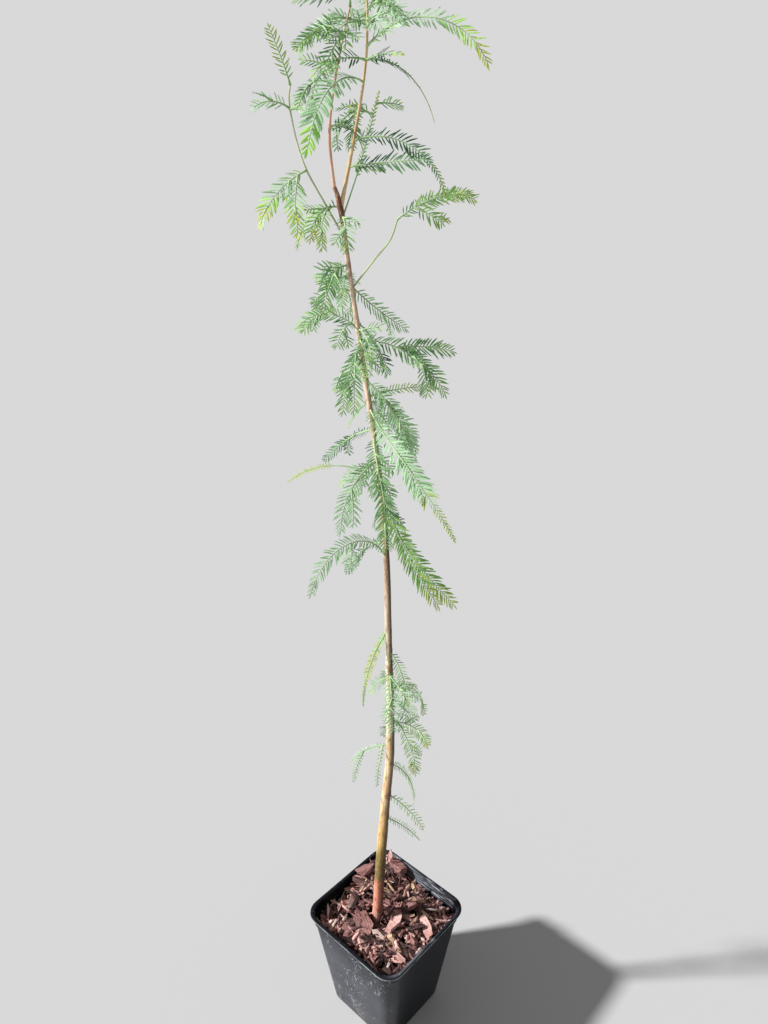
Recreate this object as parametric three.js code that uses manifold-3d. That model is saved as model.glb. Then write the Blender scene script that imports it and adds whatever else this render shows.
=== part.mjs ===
// A young bald cypress in a square nursery pot, in millimetres, with +Z up.
// The origin is the middle of the pot's flat underside. +Y points away from the viewer of the front
// view, and one corner of the pot points towards that viewer, along -Y.
// The trunk forks near its top into two leaders, and two thin branches leave it just below and at the
// fork. Every spray of needles is one solid: a toothed blade that follows a drooping stem.

import * as THREE from 'three';
import { mergeVertices } from 'three/addons/utils/BufferGeometryUtils.js';
import Module from 'manifold-3d';

const wasm = await Module();
wasm.setup();

// Driving dimensions of the pot: a square pot with a stepped collar and a thin lip.
const POT = {
  height: 114,
  rimWidth: 113,
  lipHeight: 2,
  lipReach: 2.6,
  collarHeight: 11,
  collarStep: 1.3,
  footWidth: 79,
  footBevel: 2.5,
  wall: 1.2,
  floor: 2,
  cornerRadius: 15,
  cornerSteps: 5,
  turn: 2.3,
  drainRadius: 4.5,
  drainReach: 36,
};

// The bark mulch that fills the pot, and the large chips that stand out of it.
const MULCH = {
  edgeLevel: 97,
  middleLevel: 105,
  bump: 3,
  heap: 14,
  heapHeading: 106,
  sideHeap: 6,
  sideHeading: 222,
  rings: [1, 0.86, 0.7, 0.53, 0.36, 0.19],
  chips: 20,
  chipLength: [13, 27],
  chipWidth: [5, 10],
  chipThickness: [2.2, 4],
  room: 128,
};
// Large chips laid by hand: x, y and z, then length, width and thickness, then two tilts and a turn.
const LAID_CHIPS = [
  [-56, 1, 103, 21, 15, 5, 62, 8, -82],
  [8, -11, 106.5, 25, 12, 3.5, -22, 10, 67],
  [38, -12, 102.5, 25, 9, 3.5, 20, -8, -70],
  [-21, -10, 106, 22, 13, 3, 16, 6, -50],
  [-23, -24, 103.5, 19, 9, 3, -14, 4, -65],
  [10, 49, 113, 22, 17, 6.5, 48, 12, -50],
  [-8, -22, 105, 15, 4, 2.6, 0, 4, -34],
  [9, -40, 101, 21, 5, 3, 8, -5, -37],
  [40, 2, 102, 17, 4, 2.6, 0, 6, -37],
  [-33, 18, 105, 22, 6.5, 3, 28, 8, 78],
  [-23, 45, 117, 22, 13, 5, -26, 8, 40],
];
const STRIP = { x: 5, y: 57, length: 34, width: 5, thickness: 3, lean: 8, top: 129 };

// Clear gap between neighbouring solids, and between the needles of one spray and another solid.
const GAP = 0.35;
const NEEDLE_CLEARANCE = 0.6;

// Limbs. Each bend is x, y, z and the limb's radius there.
const TRUNK_FOOT = 94;
const LIMBS = {
  trunk: {
    sides: 12,
    steps: 30,
    bends: [
      [-9, 0, TRUNK_FOOT, 4.9],
      [-5, 1, 177, 4.8],
      [-1, 2, 240, 4.4],
      [3, 3, 294, 4],
      [3.4, 2, 349, 3.5],
      [1.8, -1, 409, 3.05],
      [0, -2, 489, 2.6],
      [-5, 0, 555, 2.3],
      [-15, 2, 630, 2],
      [-25, 2, 702, 1.7],
      [-30, 1, 742, 1.8],
      [-34, 0, 756, 1.5],
    ],
  },
  leader_left: {
    sides: 8,
    steps: 12,
    bends: [[-34, 0, 756, 1.4], [-36, -3, 788, 1.1], [-30, -5, 824, 0.85], [-22, -3, 854, 0.6]],
  },
  leader_right: {
    sides: 8,
    steps: 14,
    bends: [[-30, 1, 744, 1.5], [-21, 4, 784, 1.2], [-14, 6, 821, 1], [-12, 6, 849, 0.8], [-13, 4, 878, 0.6]],
  },
  branch_left: {
    sides: 6,
    steps: 10,
    bends: [[-28, 1.5, 725, 0.9], [-37, 3, 740, 0.8], [-54, 5, 771, 0.75], [-61, 5, 802, 0.6], [-60, 4, 814, 0.55]],
  },
  branch_right: {
    sides: 6,
    steps: 8,
    bends: [[-24, 2, 692, 0.9], [-10, 7, 709, 0.8], [2, 12, 723, 0.7], [7, 14, 736, 0.6]],
  },
};

// Sprays of needles. A spray leaves its limb at height "at", towards "heading" (0 is +X, 90 is +Y), and
// climbs at "rise" degrees, which falls by "droop" degrees over its length while the heading turns by
// "swing". "twigs" is the number of seeded side twigs. Each of "more" leaves the first stem at "from".
const SPRAYS = {
  low_spray_1: { on: 'trunk', at: 428, heading: 196, rise: -57, length: 75, droop: 32, needle: 6 },
  low_spray_2: { on: 'trunk', at: 408, heading: 320, rise: -40, length: 52, droop: 55, needle: 6 },
  low_spray_3: {
    on: 'trunk', at: 388, heading: 275, rise: -20, length: 52, droop: 65, needle: 8,
    more: [{ from: 0.12, heading: 312, rise: -15, length: 42, droop: 70 }],
  },
  low_spray_4: { on: 'trunk', at: 368, heading: 35, rise: 0, length: 58, droop: 95, needle: 6 },
  low_spray_5: {
    on: 'trunk', at: 333, heading: 352, rise: 12, length: 44, droop: 92, needle: 7,
    more: [{ from: 0.14, heading: 320, rise: -45, length: 50, droop: 40 }],
  },
  low_spray_6: {
    on: 'trunk', at: 308, heading: 165, rise: -10, length: 48, droop: 55, needle: 5,
    more: [
      { from: 0.5, heading: 205, rise: -62, length: 32, droop: 20 },
      { from: 0.1, heading: 252, rise: -40, length: 36, droop: 45 },
    ],
  },
  low_spray_7: { on: 'trunk', at: 288, heading: 38, rise: -38, length: 74, droop: 55, needle: 6 },
  low_spray_8: { on: 'trunk', at: 255, heading: 337, rise: -18, length: 46, droop: 40, needle: 6 },
  low_spray_9: { on: 'trunk', at: 228, heading: 25, rise: -40, length: 58, droop: 20, needle: 5 },
  low_spray_10: {
    on: 'trunk', at: 376, heading: 95, rise: 5, length: 54, droop: 85, needle: 7,
    more: [{ from: 0.1, heading: 155, rise: -34, length: 28, droop: 30 }],
  },
  low_spray_11: { on: 'trunk', at: 320, heading: 100, rise: -5, length: 50, droop: 70, needle: 6 },

  middle_spray_1: {
    on: 'trunk', at: 630, heading: 328, rise: -30, length: 66, droop: 45, needle: 9, twigs: 2,
    more: [{ from: 0.1, heading: 2, rise: -48, length: 62, droop: 28 }],
  },
  middle_spray_2: {
    on: 'trunk', at: 609, heading: 280, swing: 55, rise: -8, length: 126, droop: 50, needle: 10,
    more: [{ from: 0.4, heading: 350, rise: -45, length: 42, droop: 35 }],
  },
  middle_spray_3: { on: 'trunk', at: 588, heading: 268, swing: 48, rise: -10, length: 84, droop: 100, needle: 10 },
  middle_spray_4: {
    on: 'trunk', at: 550, heading: 325, rise: -70, length: 100, droop: -24, needle: 10,
    more: [{ from: 0.3, heading: 350, rise: -62, length: 76, droop: -18 }],
  },
  middle_spray_5: { on: 'trunk', at: 570, heading: 228, rise: -8, length: 64, droop: 80, needle: 9, twigs: 1 },
  middle_spray_6: { on: 'trunk', at: 557, heading: 165, rise: 26, length: 78, droop: 68, needle: 6 },
  middle_spray_7: { on: 'trunk', at: 594, heading: 135, rise: -20, length: 54, droop: 20, needle: 7, twigs: 2 },
  middle_spray_8: {
    on: 'trunk', at: 490, heading: 224, rise: 70, length: 98, droop: 142, needle: 8,
    more: [{ from: 0.45, heading: 262, rise: -40, length: 18, droop: 45 }],
  },
  middle_spray_9: { on: 'trunk', at: 618, heading: 25, rise: 12, length: 56, droop: 22, needle: 5 },
  middle_spray_10: { on: 'trunk', at: 610, heading: 85, rise: 8, length: 82, droop: 78, needle: 9, twigs: 2 },
  middle_spray_11: { on: 'trunk', at: 566, heading: 105, rise: -8, length: 86, droop: 55, needle: 9, twigs: 2 },
  middle_spray_12: { on: 'trunk', at: 536, heading: 80, rise: -12, length: 76, droop: 55, needle: 9, twigs: 2 },
  middle_spray_13: { on: 'trunk', at: 504, heading: 120, rise: -15, length: 66, droop: 50, needle: 8, twigs: 1 },

  upper_spray_1: {
    on: 'trunk', at: 658, heading: 345, rise: 4, length: 74, droop: 66, needle: 9, twigs: 2,
    more: [
      { from: 0.4, heading: 18, rise: 2, length: 42, droop: 18 },
      { from: 0, heading: 282, rise: 0, length: 34, droop: 60 },
    ],
  },
  upper_spray_2: { on: 'trunk', at: 694, heading: 12, rise: -44, length: 48, droop: -12, needle: 8, twigs: 1 },
  upper_spray_3: {
    on: 'trunk', at: 708, heading: 210, rise: -5, length: 23, droop: 50, needle: 9,
    more: [
      { from: 0.2, heading: 245, rise: -25, length: 34, droop: 50 },
      { from: 0.2, heading: 178, rise: 15, length: 16, droop: 75 },
    ],
  },
  upper_spray_4: {
    on: 'trunk', at: 665, heading: 165, rise: 48, length: 51, droop: 98, needle: 8, twigs: 1,
    more: [
      { from: 0.1, heading: 250, rise: 5, length: 30, droop: 55 },
      { from: 0, heading: 290, rise: 12, length: 34, droop: 75 },
    ],
  },
  upper_spray_5: {
    on: 'trunk', at: 655, heading: 238, rise: -42, length: 50, droop: 40, needle: 8,
    more: [
      { from: 0.2, heading: 268, rise: -12, length: 48, droop: 70 },
      { from: 0.1, heading: 135, rise: -40, length: 36, droop: 26 },
    ],
  },
  upper_spray_6: { on: 'trunk', at: 699, heading: 100, rise: 12, length: 62, droop: 75, needle: 9, twigs: 2 },
  upper_spray_7: { on: 'trunk', at: 670, heading: 60, rise: -26, length: 56, droop: 42, needle: 9, twigs: 2 },

  fork_spray_1: {
    on: 'trunk', at: 737, heading: 20, rise: 67, length: 78, droop: -8, needle: 3,
    more: [
      { from: 0.45, heading: 345, rise: 10, length: 16, droop: 20, needle: 6 },
      { from: 0.4, heading: 120, rise: 20, length: 14, droop: 30, needle: 6 },
      { from: 0.9, heading: 30, rise: 10, length: 18, droop: 20, needle: 7 },
      { from: 0.85, heading: 170, rise: 25, length: 15, droop: 20, needle: 7 },
    ],
  },
  fork_spray_2: {
    on: 'trunk', at: 744, heading: 160, rise: 8, length: 42, droop: 88, needle: 7,
    more: [
      { from: 0.2, heading: 225, rise: -10, length: 28, droop: 75 },
      { from: 0.1, heading: 258, rise: 0, length: 34, droop: 75 },
    ],
  },
  fork_spray_3: { on: 'trunk', at: 738, heading: 280, rise: 5, length: 32, droop: 90, needle: 8 },

  branch_right_spray: {
    on: 'branch_right', at: 736, heading: 10, rise: 38, length: 53, droop: 40, needle: 8, twigs: 4,
    more: [{ from: 0.3, heading: 340, rise: -15, length: 22, droop: 20 }],
  },
  branch_left_spray_1: {
    on: 'branch_left', at: 766, heading: 205, rise: -22, length: 42, droop: 38, needle: 9,
    more: [{ from: 0.1, heading: 262, rise: -48, length: 30, droop: 30 }],
  },
  branch_left_spray_2: {
    on: 'branch_left', at: 801, heading: 185, rise: 40, length: 24, droop: 75, needle: 7,
    more: [{ from: 0, heading: 330, rise: 8, length: 22, droop: 60, needle: 4 }],
  },
  branch_left_spray_3: { on: 'branch_left', at: 814, heading: 162, rise: 72, length: 34, droop: 8, needle: 6 },

  leader_left_spray_1: { on: 'leader_left', at: 790, heading: 40, rise: 30, length: 32, droop: 105, needle: 7 },
  leader_left_spray_2: {
    on: 'leader_left', at: 840, heading: 208, rise: 22, length: 23, droop: 60, needle: 8, twigs: 2,
    more: [
      { from: 0.2, heading: 244, rise: 5, length: 32, droop: 50 },
      { from: 0.1, heading: 275, rise: 10, length: 28, droop: 60 },
      { from: 0.1, heading: 230, rise: -35, length: 28, droop: 30 },
    ],
  },
  leader_left_spray_3: { on: 'leader_left', at: 822, heading: 120, rise: 15, length: 48, droop: 75, needle: 8, twigs: 1 },
  leader_left_top: {
    on: 'leader_left', at: 854, heading: 100, rise: 76, length: 44, droop: -6, needle: 7, twigs: 3,
    more: [
      { from: 0.1, heading: 172, rise: 4, length: 34, droop: 12 },
      { from: 0.25, heading: 290, rise: 30, length: 26, droop: 50 },
    ],
  },
  leader_right_spray_1: { on: 'leader_right', at: 768, heading: 344, rise: 7, length: 52, droop: 6, needle: 9 },
  leader_right_spray_2: { on: 'leader_right', at: 783, heading: 346, rise: 18, length: 76, droop: 92, needle: 8 },
  leader_right_spray_3: { on: 'leader_right', at: 816, heading: 245, rise: 10, length: 90, droop: 80, needle: 10 },
  leader_right_spray_4: { on: 'leader_right', at: 835, heading: 340, rise: 44, length: 89, droop: 106, needle: 8 },
  leader_right_spray_5: {
    on: 'leader_right', at: 828, heading: 42, rise: 12, length: 74, droop: 78, needle: 5,
    more: [
      { from: 0, heading: 315, rise: 12, length: 32, droop: 25, needle: 8 },
      { from: 0, heading: 218, rise: 8, length: 26, droop: 30, needle: 8 },
    ],
  },
  leader_right_spray_6: {
    on: 'leader_right', at: 846, heading: 228, rise: 15, length: 27, droop: 55, needle: 8,
    more: [
      { from: 0.15, heading: 155, rise: 25, length: 32, droop: 50 },
      { from: 0.15, heading: 305, rise: 10, length: 30, droop: 60 },
    ],
  },
  leader_right_spray_7: { on: 'leader_right', at: 802, heading: 98, rise: 18, length: 60, droop: 80, needle: 8, twigs: 1 },
  leader_right_spray_8: { on: 'leader_right', at: 864, heading: 75, rise: 28, length: 48, droop: 75, needle: 8, twigs: 1 },
  leader_right_spray_9: {
    on: 'leader_right', at: 854, heading: 355, rise: 42, length: 44, droop: 55, needle: 8, twigs: 1,
    more: [{ from: 0.1, heading: 318, rise: 5, length: 24, droop: 60 }],
  },
  leader_right_top: {
    on: 'leader_right', at: 878, heading: 250, rise: 82, length: 58, droop: 8, needle: 7, twigs: 5,
    more: [
      { from: 0.1, heading: 300, rise: 35, length: 42, droop: 60 },
      { from: 0.1, heading: 190, rise: 40, length: 40, droop: 55 },
    ],
  },
};

// How a spray is drawn: the toothed blade's pitch and section, how far its upper face turns to the light
// that came from the front, and how its side twigs leave it.
const BLADE = {
  lightTurn: 60,
  pitch: 6.7,
  rootRadius: 0.75,
  tipRadius: 0.4,
  lean: 58,
  bareRoot: 4,
  twigReach: 0.42,
  twigSpread: 48,
  twigLength: 14,
};

const COLOURS = {
  pot: 0x26292d,
  mulch: 0x6b4436,
  bark: 0x9a6a45,
  young_bark: 0xa9805c,
  needles: 0x5f9a55,
};

const radians = THREE.MathUtils.degToRad;
const { lerp, clamp } = THREE.MathUtils;

// A repeatable number from 0 to 1 for a pair of counters.
function chance(a, b) {
  const s = Math.sin(a * 12.9898 + b * 78.233) * 43758.5453;
  return s - Math.floor(s);
}

// A number between the two ends of a range, chosen by the same rule.
function within([low, high], a, b) {
  return lerp(low, high, chance(a, b));
}

function solidFrom(points, faces) {
  const vertProperties = new Float32Array(points.flat());
  const triVerts = new Uint32Array(faces.flat());
  const solid = new wasm.Manifold(new wasm.Mesh({ numProp: 3, vertProperties, triVerts }));
  if (solid.volume() > 0) return solid;
  const flipped = new Uint32Array(faces.map(([a, b, c]) => [a, c, b]).flat());
  return new wasm.Manifold(new wasm.Mesh({ numProp: 3, vertProperties, triVerts: flipped }));
}

function solidFromGeometry(geometry) {
  const bare = geometry.clone();
  bare.deleteAttribute('normal');
  bare.deleteAttribute('uv');
  const merged = mergeVertices(bare, 1e-4);
  const points = [];
  for (let i = 0; i < merged.attributes.position.count; i += 1) {
    points.push(new THREE.Vector3().fromBufferAttribute(merged.attributes.position, i).toArray());
  }
  const index = Array.from(merged.index.array);
  const faces = [];
  for (let i = 0; i < index.length; i += 3) faces.push(index.slice(i, i + 3));
  return solidFrom(points, faces);
}

function largestPiece(solid) {
  return solid.decompose().reduce((best, piece) => (piece.volume() > best.volume() ? piece : best));
}

// Turns a solid into a named mesh whose position is the given foot.
function meshFrom(name, solid, colour, roughness, foot = new THREE.Vector3()) {
  const { vertProperties, triVerts } = solid.getMesh();
  const geometry = new THREE.BufferGeometry();
  geometry.setAttribute('position', new THREE.BufferAttribute(new Float32Array(vertProperties), 3));
  geometry.setIndex(new THREE.BufferAttribute(new Uint32Array(triVerts), 1));
  geometry.translate(-foot.x, -foot.y, -foot.z);
  geometry.computeVertexNormals();
  const mesh = new THREE.Mesh(geometry, new THREE.MeshStandardMaterial({ color: colour, roughness, metalness: 0 }));
  mesh.name = name;
  mesh.position.copy(foot);
  return mesh;
}

// Joins rings that all have the same number of points, and closes both ends.
function loft(rings) {
  const size = rings[0].length;
  const points = rings.flat();
  const faces = [];
  for (let ring = 0; ring + 1 < rings.length; ring += 1) {
    for (let i = 0; i < size; i += 1) {
      const a = ring * size + i;
      const b = ring * size + ((i + 1) % size);
      faces.push([a, b, b + size], [a, b + size, a + size]);
    }
  }
  const last = (rings.length - 1) * size;
  for (let i = 1; i + 1 < size; i += 1) {
    faces.push([0, i + 1, i], [last, last + i, last + i + 1]);
  }
  return solidFrom(points, faces);
}

// One level of the pot: a square with round corners, turned as the pot is.
function squareRing(width, radius, z) {
  const ring = [];
  const reach = width / 2 - radius;
  for (let corner = 0; corner < 4; corner += 1) {
    const middle = radians(POT.turn + 90 * corner);
    for (let step = 0; step <= POT.cornerSteps; step += 1) {
      const angle = middle + radians(90) * (step / POT.cornerSteps - 0.5);
      const out = reach * Math.SQRT2;
      ring.push([
        out * Math.cos(middle) + radius * Math.cos(angle),
        out * Math.sin(middle) + radius * Math.sin(angle),
        z,
      ]);
    }
  }
  return ring;
}

const collarWidth = POT.rimWidth - 2 * POT.lipReach;
const wallTopWidth = collarWidth - 2 * POT.collarStep;
const collarFoot = POT.height - POT.collarHeight;

// Width of the pot's inner wall at a height below the collar.
function innerWidth(z) {
  return lerp(POT.footWidth, wallTopWidth, (z - POT.footBevel) / (collarFoot - POT.footBevel)) - 2 * POT.wall;
}

function potSolid() {
  const r = POT.cornerRadius;
  const lipFoot = POT.height - POT.lipHeight;
  const innerRadius = r - POT.wall;
  const shell = loft([
    squareRing(POT.footWidth - 2 * POT.footBevel, r - POT.footBevel, 0),
    squareRing(POT.footWidth, r, POT.footBevel),
    squareRing(wallTopWidth, r, collarFoot),
    squareRing(collarWidth - 0.4, r, collarFoot + 1),
    squareRing(collarWidth, r, lipFoot),
    squareRing(POT.rimWidth, r + POT.lipReach, lipFoot + 0.4),
    squareRing(POT.rimWidth, r + POT.lipReach, POT.height - 0.6),
    squareRing(POT.rimWidth - 1.2, r + POT.lipReach - 0.6, POT.height),
    squareRing(collarWidth - 2 * POT.wall + 0.6, innerRadius, POT.height),
    squareRing(collarWidth - 2 * POT.wall, innerRadius, POT.height - 1),
    squareRing(collarWidth - 2 * POT.wall - 0.4, innerRadius, collarFoot + POT.wall + 1),
    squareRing(wallTopWidth - 2 * POT.wall, innerRadius, collarFoot + POT.wall),
    squareRing(innerWidth(POT.floor), innerRadius, POT.floor),
  ]);
  return drainHoles().reduce((rest, hole) => rest.subtract(hole), shell);
}

// Four drain holes through the floor, one towards each corner.
function drainHoles() {
  return [0, 1, 2, 3].map((corner) => {
    const angle = radians(POT.turn + 90 * corner);
    const hole = new THREE.CylinderGeometry(POT.drainRadius, POT.drainRadius, 4 * POT.floor, 12);
    hole.rotateX(Math.PI / 2);
    hole.translate(POT.drainReach * Math.cos(angle), POT.drainReach * Math.sin(angle), 0);
    return solidFromGeometry(hole);
  });
}

// Height of the mulch at a share of the way from the middle (0) to the wall (1), heaped towards the
// back corner and a little along the left front side. The heading is in radians.
function mulchLevel(share, heading) {
  const facing = (side) => Math.max(0, Math.cos(heading - radians(side)));
  const dome = lerp(MULCH.middleLevel, MULCH.edgeLevel, share * share);
  const backHeap = MULCH.heap * share * facing(MULCH.heapHeading) ** 4;
  const sideHeap = MULCH.sideHeap * share ** 3 * facing(MULCH.sideHeading) ** 2;
  return dome + backHeap + sideHeap;
}

function mulchSolid(trunkPocket) {
  const inside = (z) => innerWidth(z) - 2 * GAP;
  const radius = POT.cornerRadius - POT.wall;
  const bottom = POT.floor + GAP;
  const rings = [
    squareRing(inside(bottom), radius, bottom),
    squareRing(inside(MULCH.edgeLevel - 3), radius, MULCH.edgeLevel - 3),
  ];
  MULCH.rings.forEach((share, ring) => {
    const edge = squareRing(inside(MULCH.edgeLevel - 3) - 0.8, radius, 0);
    rings.push(edge.map(([x, y], i) => {
      const bump = MULCH.bump * (chance(ring * 40 + i, 3) - 0.5);
      return [x * share, y * share, mulchLevel(share, Math.atan2(y, x)) + bump];
    }));
  });
  const room = loft([
    squareRing(inside(bottom), radius, bottom),
    squareRing(inside(collarFoot), radius, collarFoot),
    squareRing(inside(collarFoot), radius, MULCH.room),
  ]);
  const chips = [...Array(MULCH.chips).keys()].map(chipSolid).concat(LAID_CHIPS.map(laidChipSolid));
  const filled = chips.reduce((heap, chip) => heap.add(chip), loft(rings)).add(stripSolid());
  return largestPiece(filled.intersect(room).subtract(trunkPocket));
}

// A chip of bark: a flat block with uneven corners, thinner towards its ends.
function chipBlock(length, width, thickness, seed) {
  const block = new THREE.BoxGeometry(length, width, thickness);
  const p = block.attributes.position;
  for (let i = 0; i < p.count; i += 1) {
    const corner = (p.getX(i) > 0 ? 1 : 0) + (p.getY(i) > 0 ? 2 : 0) + (p.getZ(i) > 0 ? 4 : 0);
    const pull = (axis) => 0.75 + 0.4 * chance(seed * 8 + corner, axis);
    p.setXYZ(i, p.getX(i) * pull(1), p.getY(i) * pull(2), p.getZ(i) * pull(3));
  }
  return block;
}

// Chips lie along a spiral from the trunk outwards, each turned and tipped by its own seed.
function chipSolid(k) {
  const share = Math.sqrt((k + 1.5) / (MULCH.chips + 1.5));
  const spiral = radians(137.5 * k);
  const reach = share * (innerWidth(MULCH.edgeLevel) / 2) * 0.98;
  const chip = chipBlock(
    within(MULCH.chipLength, k, 11), within(MULCH.chipWidth, k, 12), within(MULCH.chipThickness, k, 13), k,
  );
  chip.rotateX(radians(lerp(-28, 28, chance(k, 14))));
  chip.rotateY(radians(lerp(-24, 24, chance(k, 15))));
  chip.rotateZ(radians(360 * chance(k, 16)));
  const level = mulchLevel(share, spiral) + lerp(0, 3, chance(k, 17));
  chip.translate(reach * Math.cos(spiral), reach * Math.sin(spiral), level);
  return solidFromGeometry(chip);
}

function laidChipSolid([x, y, z, length, width, thickness, tiltAlong, tiltAcross, turn], k) {
  const chip = chipBlock(length, width, thickness, 60 + k);
  chip.rotateX(radians(tiltAlong));
  chip.rotateY(radians(tiltAcross));
  chip.rotateZ(radians(turn));
  chip.translate(x, y, z);
  return solidFromGeometry(chip);
}

// One long strip of bark stands on end in the back corner.
function stripSolid() {
  const strip = chipBlock(STRIP.width, STRIP.thickness, STRIP.length, 90);
  strip.rotateX(radians(-STRIP.lean));
  strip.translate(STRIP.x, STRIP.y, STRIP.top - STRIP.length / 2);
  return solidFromGeometry(strip);
}

// A smooth line through a limb's bends: rows of x, y, z and radius.
function limbRows({ bends, steps }) {
  const rows = [];
  const at = (i) => bends[clamp(i, 0, bends.length - 1)];
  for (let step = 0; step <= steps; step += 1) {
    const place = (step / steps) * (bends.length - 1);
    const i = Math.min(Math.floor(place), bends.length - 2);
    const t = place - i;
    const [p0, p1, p2, p3] = [at(i - 1), at(i), at(i + 1), at(i + 2)];
    rows.push(p1.map((value, k) => 0.5 * (
      2 * value + (p2[k] - p0[k]) * t
      + (2 * p0[k] - 5 * value + 4 * p2[k] - p3[k]) * t * t
      + (3 * value - p0[k] - 3 * p2[k] + p3[k]) * t * t * t
    )));
  }
  return rows;
}

// A tapering limb with a flat end at each side. extra thickens it and lengthens both ends.
function limbSolid(limb, extra = 0) {
  const rows = limbRows(limb);
  const centres = rows.map(([x, y, z]) => new THREE.Vector3(x, y, z));
  const count = centres.length;
  const ahead = centres.map((p, i) => centres[Math.min(i + 1, count - 1)].clone()
    .sub(centres[Math.max(i - 1, 0)]).normalize());
  centres[0].addScaledVector(ahead[0], -extra);
  centres[count - 1].addScaledVector(ahead[count - 1], extra);
  const side = new THREE.Vector3(1, 0, 0);
  const rings = centres.map((centre, i) => {
    side.addScaledVector(ahead[i], -side.dot(ahead[i])).normalize();
    const other = new THREE.Vector3().crossVectors(ahead[i], side);
    const radius = rows[i][3] + extra;
    return [...Array(limb.sides).keys()].map((k) => {
      const angle = (2 * Math.PI * k) / limb.sides;
      const p = centre.clone().addScaledVector(side, radius * Math.cos(angle))
        .addScaledVector(other, radius * Math.sin(angle));
      return [p.x, p.y, p.z];
    });
  });
  if (limb === LIMBS.trunk) rings[0].forEach((p) => { p[2] = TRUNK_FOOT - extra; });
  return loft(rings);
}

// The point on a limb's middle line at a height.
function pointOn(name, z) {
  const rows = limbRows(LIMBS[name]);
  const i = clamp(rows.findIndex((row) => row[2] >= z), 1, rows.length - 1) || rows.length - 1;
  const [low, high] = [rows[i - 1], rows[i]];
  const t = clamp((z - low[2]) / (high[2] - low[2]), 0, 1);
  return new THREE.Vector3(lerp(low[0], high[0], t), lerp(low[1], high[1], t), lerp(low[2], high[2], t));
}

// The direction of a stem with a heading and a slope, in degrees.
function towards(heading, slope) {
  const [h, s] = [radians(heading), radians(slope)];
  return new THREE.Vector3(Math.cos(s) * Math.cos(h), Math.cos(s) * Math.sin(h), Math.sin(s));
}

// The stations along a stem: its points, with the blade's side and face directions at each.
function stemStations({ start, heading, swing = 0, rise, length, droop }) {
  const steps = Math.max(3, Math.round(length / BLADE.pitch));
  const stations = [];
  const point = start.clone();
  for (let i = 0; i <= steps; i += 1) {
    const share = i / steps;
    const turned = radians(heading + swing * share);
    const along = towards(heading + swing * share, rise - droop * share);
    const level = new THREE.Vector3(Math.sin(turned), -Math.cos(turned), 0);
    const upper = new THREE.Vector3().crossVectors(level, along);
    const roll = -radians(BLADE.lightTurn) * Math.cos(turned);
    const side = level.clone().multiplyScalar(Math.cos(roll)).addScaledVector(upper, Math.sin(roll));
    const face = new THREE.Vector3().crossVectors(side, along);
    stations.push({ point: point.clone(), along, side, face, share });
    const next = (i + 0.5) / steps;
    point.addScaledVector(towards(heading + swing * next, rise - droop * next), length / steps);
  }
  return stations;
}

// Needles are short at the root, full by a third of the way, and shrink again towards the tip.
function needleLength(full, share) {
  const young = Math.min(1, 0.55 + 1.3 * share);
  const tip = share > 0.7 ? 1 - 0.6 * ((share - 0.7) / 0.3) ** 1.5 : 1;
  return full * young * tip;
}

// All stems of one spray: the first, those that fork from it, and its seeded side twigs.
function stemsOf(name, number) {
  const spray = SPRAYS[name];
  const first = { ...spray, start: pointOn(spray.on, spray.at) };
  const stems = [first];
  const line = stemStations(first);
  const leave = (from) => line[Math.round(from * (line.length - 1))];
  (spray.more ?? []).forEach((fork) => {
    stems.push({ needle: spray.needle, ...fork, start: leave(fork.from).point });
  });
  for (let k = 0; k < (spray.twigs ?? 0); k += 1) {
    const from = 0.22 + 0.6 * ((k + 0.5) / spray.twigs);
    const turn = (k % 2 ? -1 : 1) * (BLADE.twigSpread + 14 * (chance(number, 20 + k) - 0.5));
    const length = BLADE.twigLength + BLADE.twigReach * spray.length * (1 - from) * (0.8 + 0.4 * chance(number, 30 + k));
    stems.push({
      start: leave(from).point,
      heading: spray.heading + (spray.swing ?? 0) * from + turn,
      rise: spray.rise - spray.droop * from + 16 * (chance(number, 40 + k) - 0.3),
      droop: 0.5 * Math.abs(spray.droop) + 10,
      length,
      needle: spray.needle * 0.85,
    });
  }
  return stems;
}

// How many of a spray's stems are laid down by hand, before its seeded twigs.
function mainStems(name) {
  return 1 + (SPRAYS[name].more ?? []).length;
}

// Shortest distance between two straight stretches a-b and c-d.
function gapBetween(a, b, c, d) {
  const u = b.clone().sub(a);
  const v = d.clone().sub(c);
  const w = a.clone().sub(c);
  const [uu, uv, vv, uw, vw] = [u.dot(u), u.dot(v), v.dot(v), u.dot(w), v.dot(w)];
  const flat = uu * vv - uv * uv;
  let s = flat > 1e-9 ? clamp((uv * vw - vv * uw) / flat, 0, 1) : 0;
  const t = clamp((uv * s + vw) / vv, 0, 1);
  s = clamp((uv * t - uw) / uu, 0, 1);
  return w.addScaledVector(u, s).addScaledVector(v, -t).length();
}

// What is already standing: straight stretches with a radius and the name of their owner.
const standing = [];

function stand(owner, a, b, radius) {
  standing.push({ owner, a, b, radius, middle: a.clone().add(b).multiplyScalar(0.5), half: a.distanceTo(b) / 2 });
}

function isClear(owner, a, b, radius, clearance) {
  const middle = a.clone().add(b).multiplyScalar(0.5);
  const half = a.distanceTo(b) / 2;
  return standing.every((other) => {
    if (other.owner === owner) return true;
    const need = radius + other.radius + clearance;
    if (middle.distanceTo(other.middle) > half + other.half + need) return true;
    return gapBetween(a, b, other.a, other.b) > need;
  });
}

function standStem(owner, stations, radius) {
  for (let i = 0; i + 1 < stations.length; i += 1) {
    stand(owner, stations[i].point, stations[i + 1].point, radius);
  }
}

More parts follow.
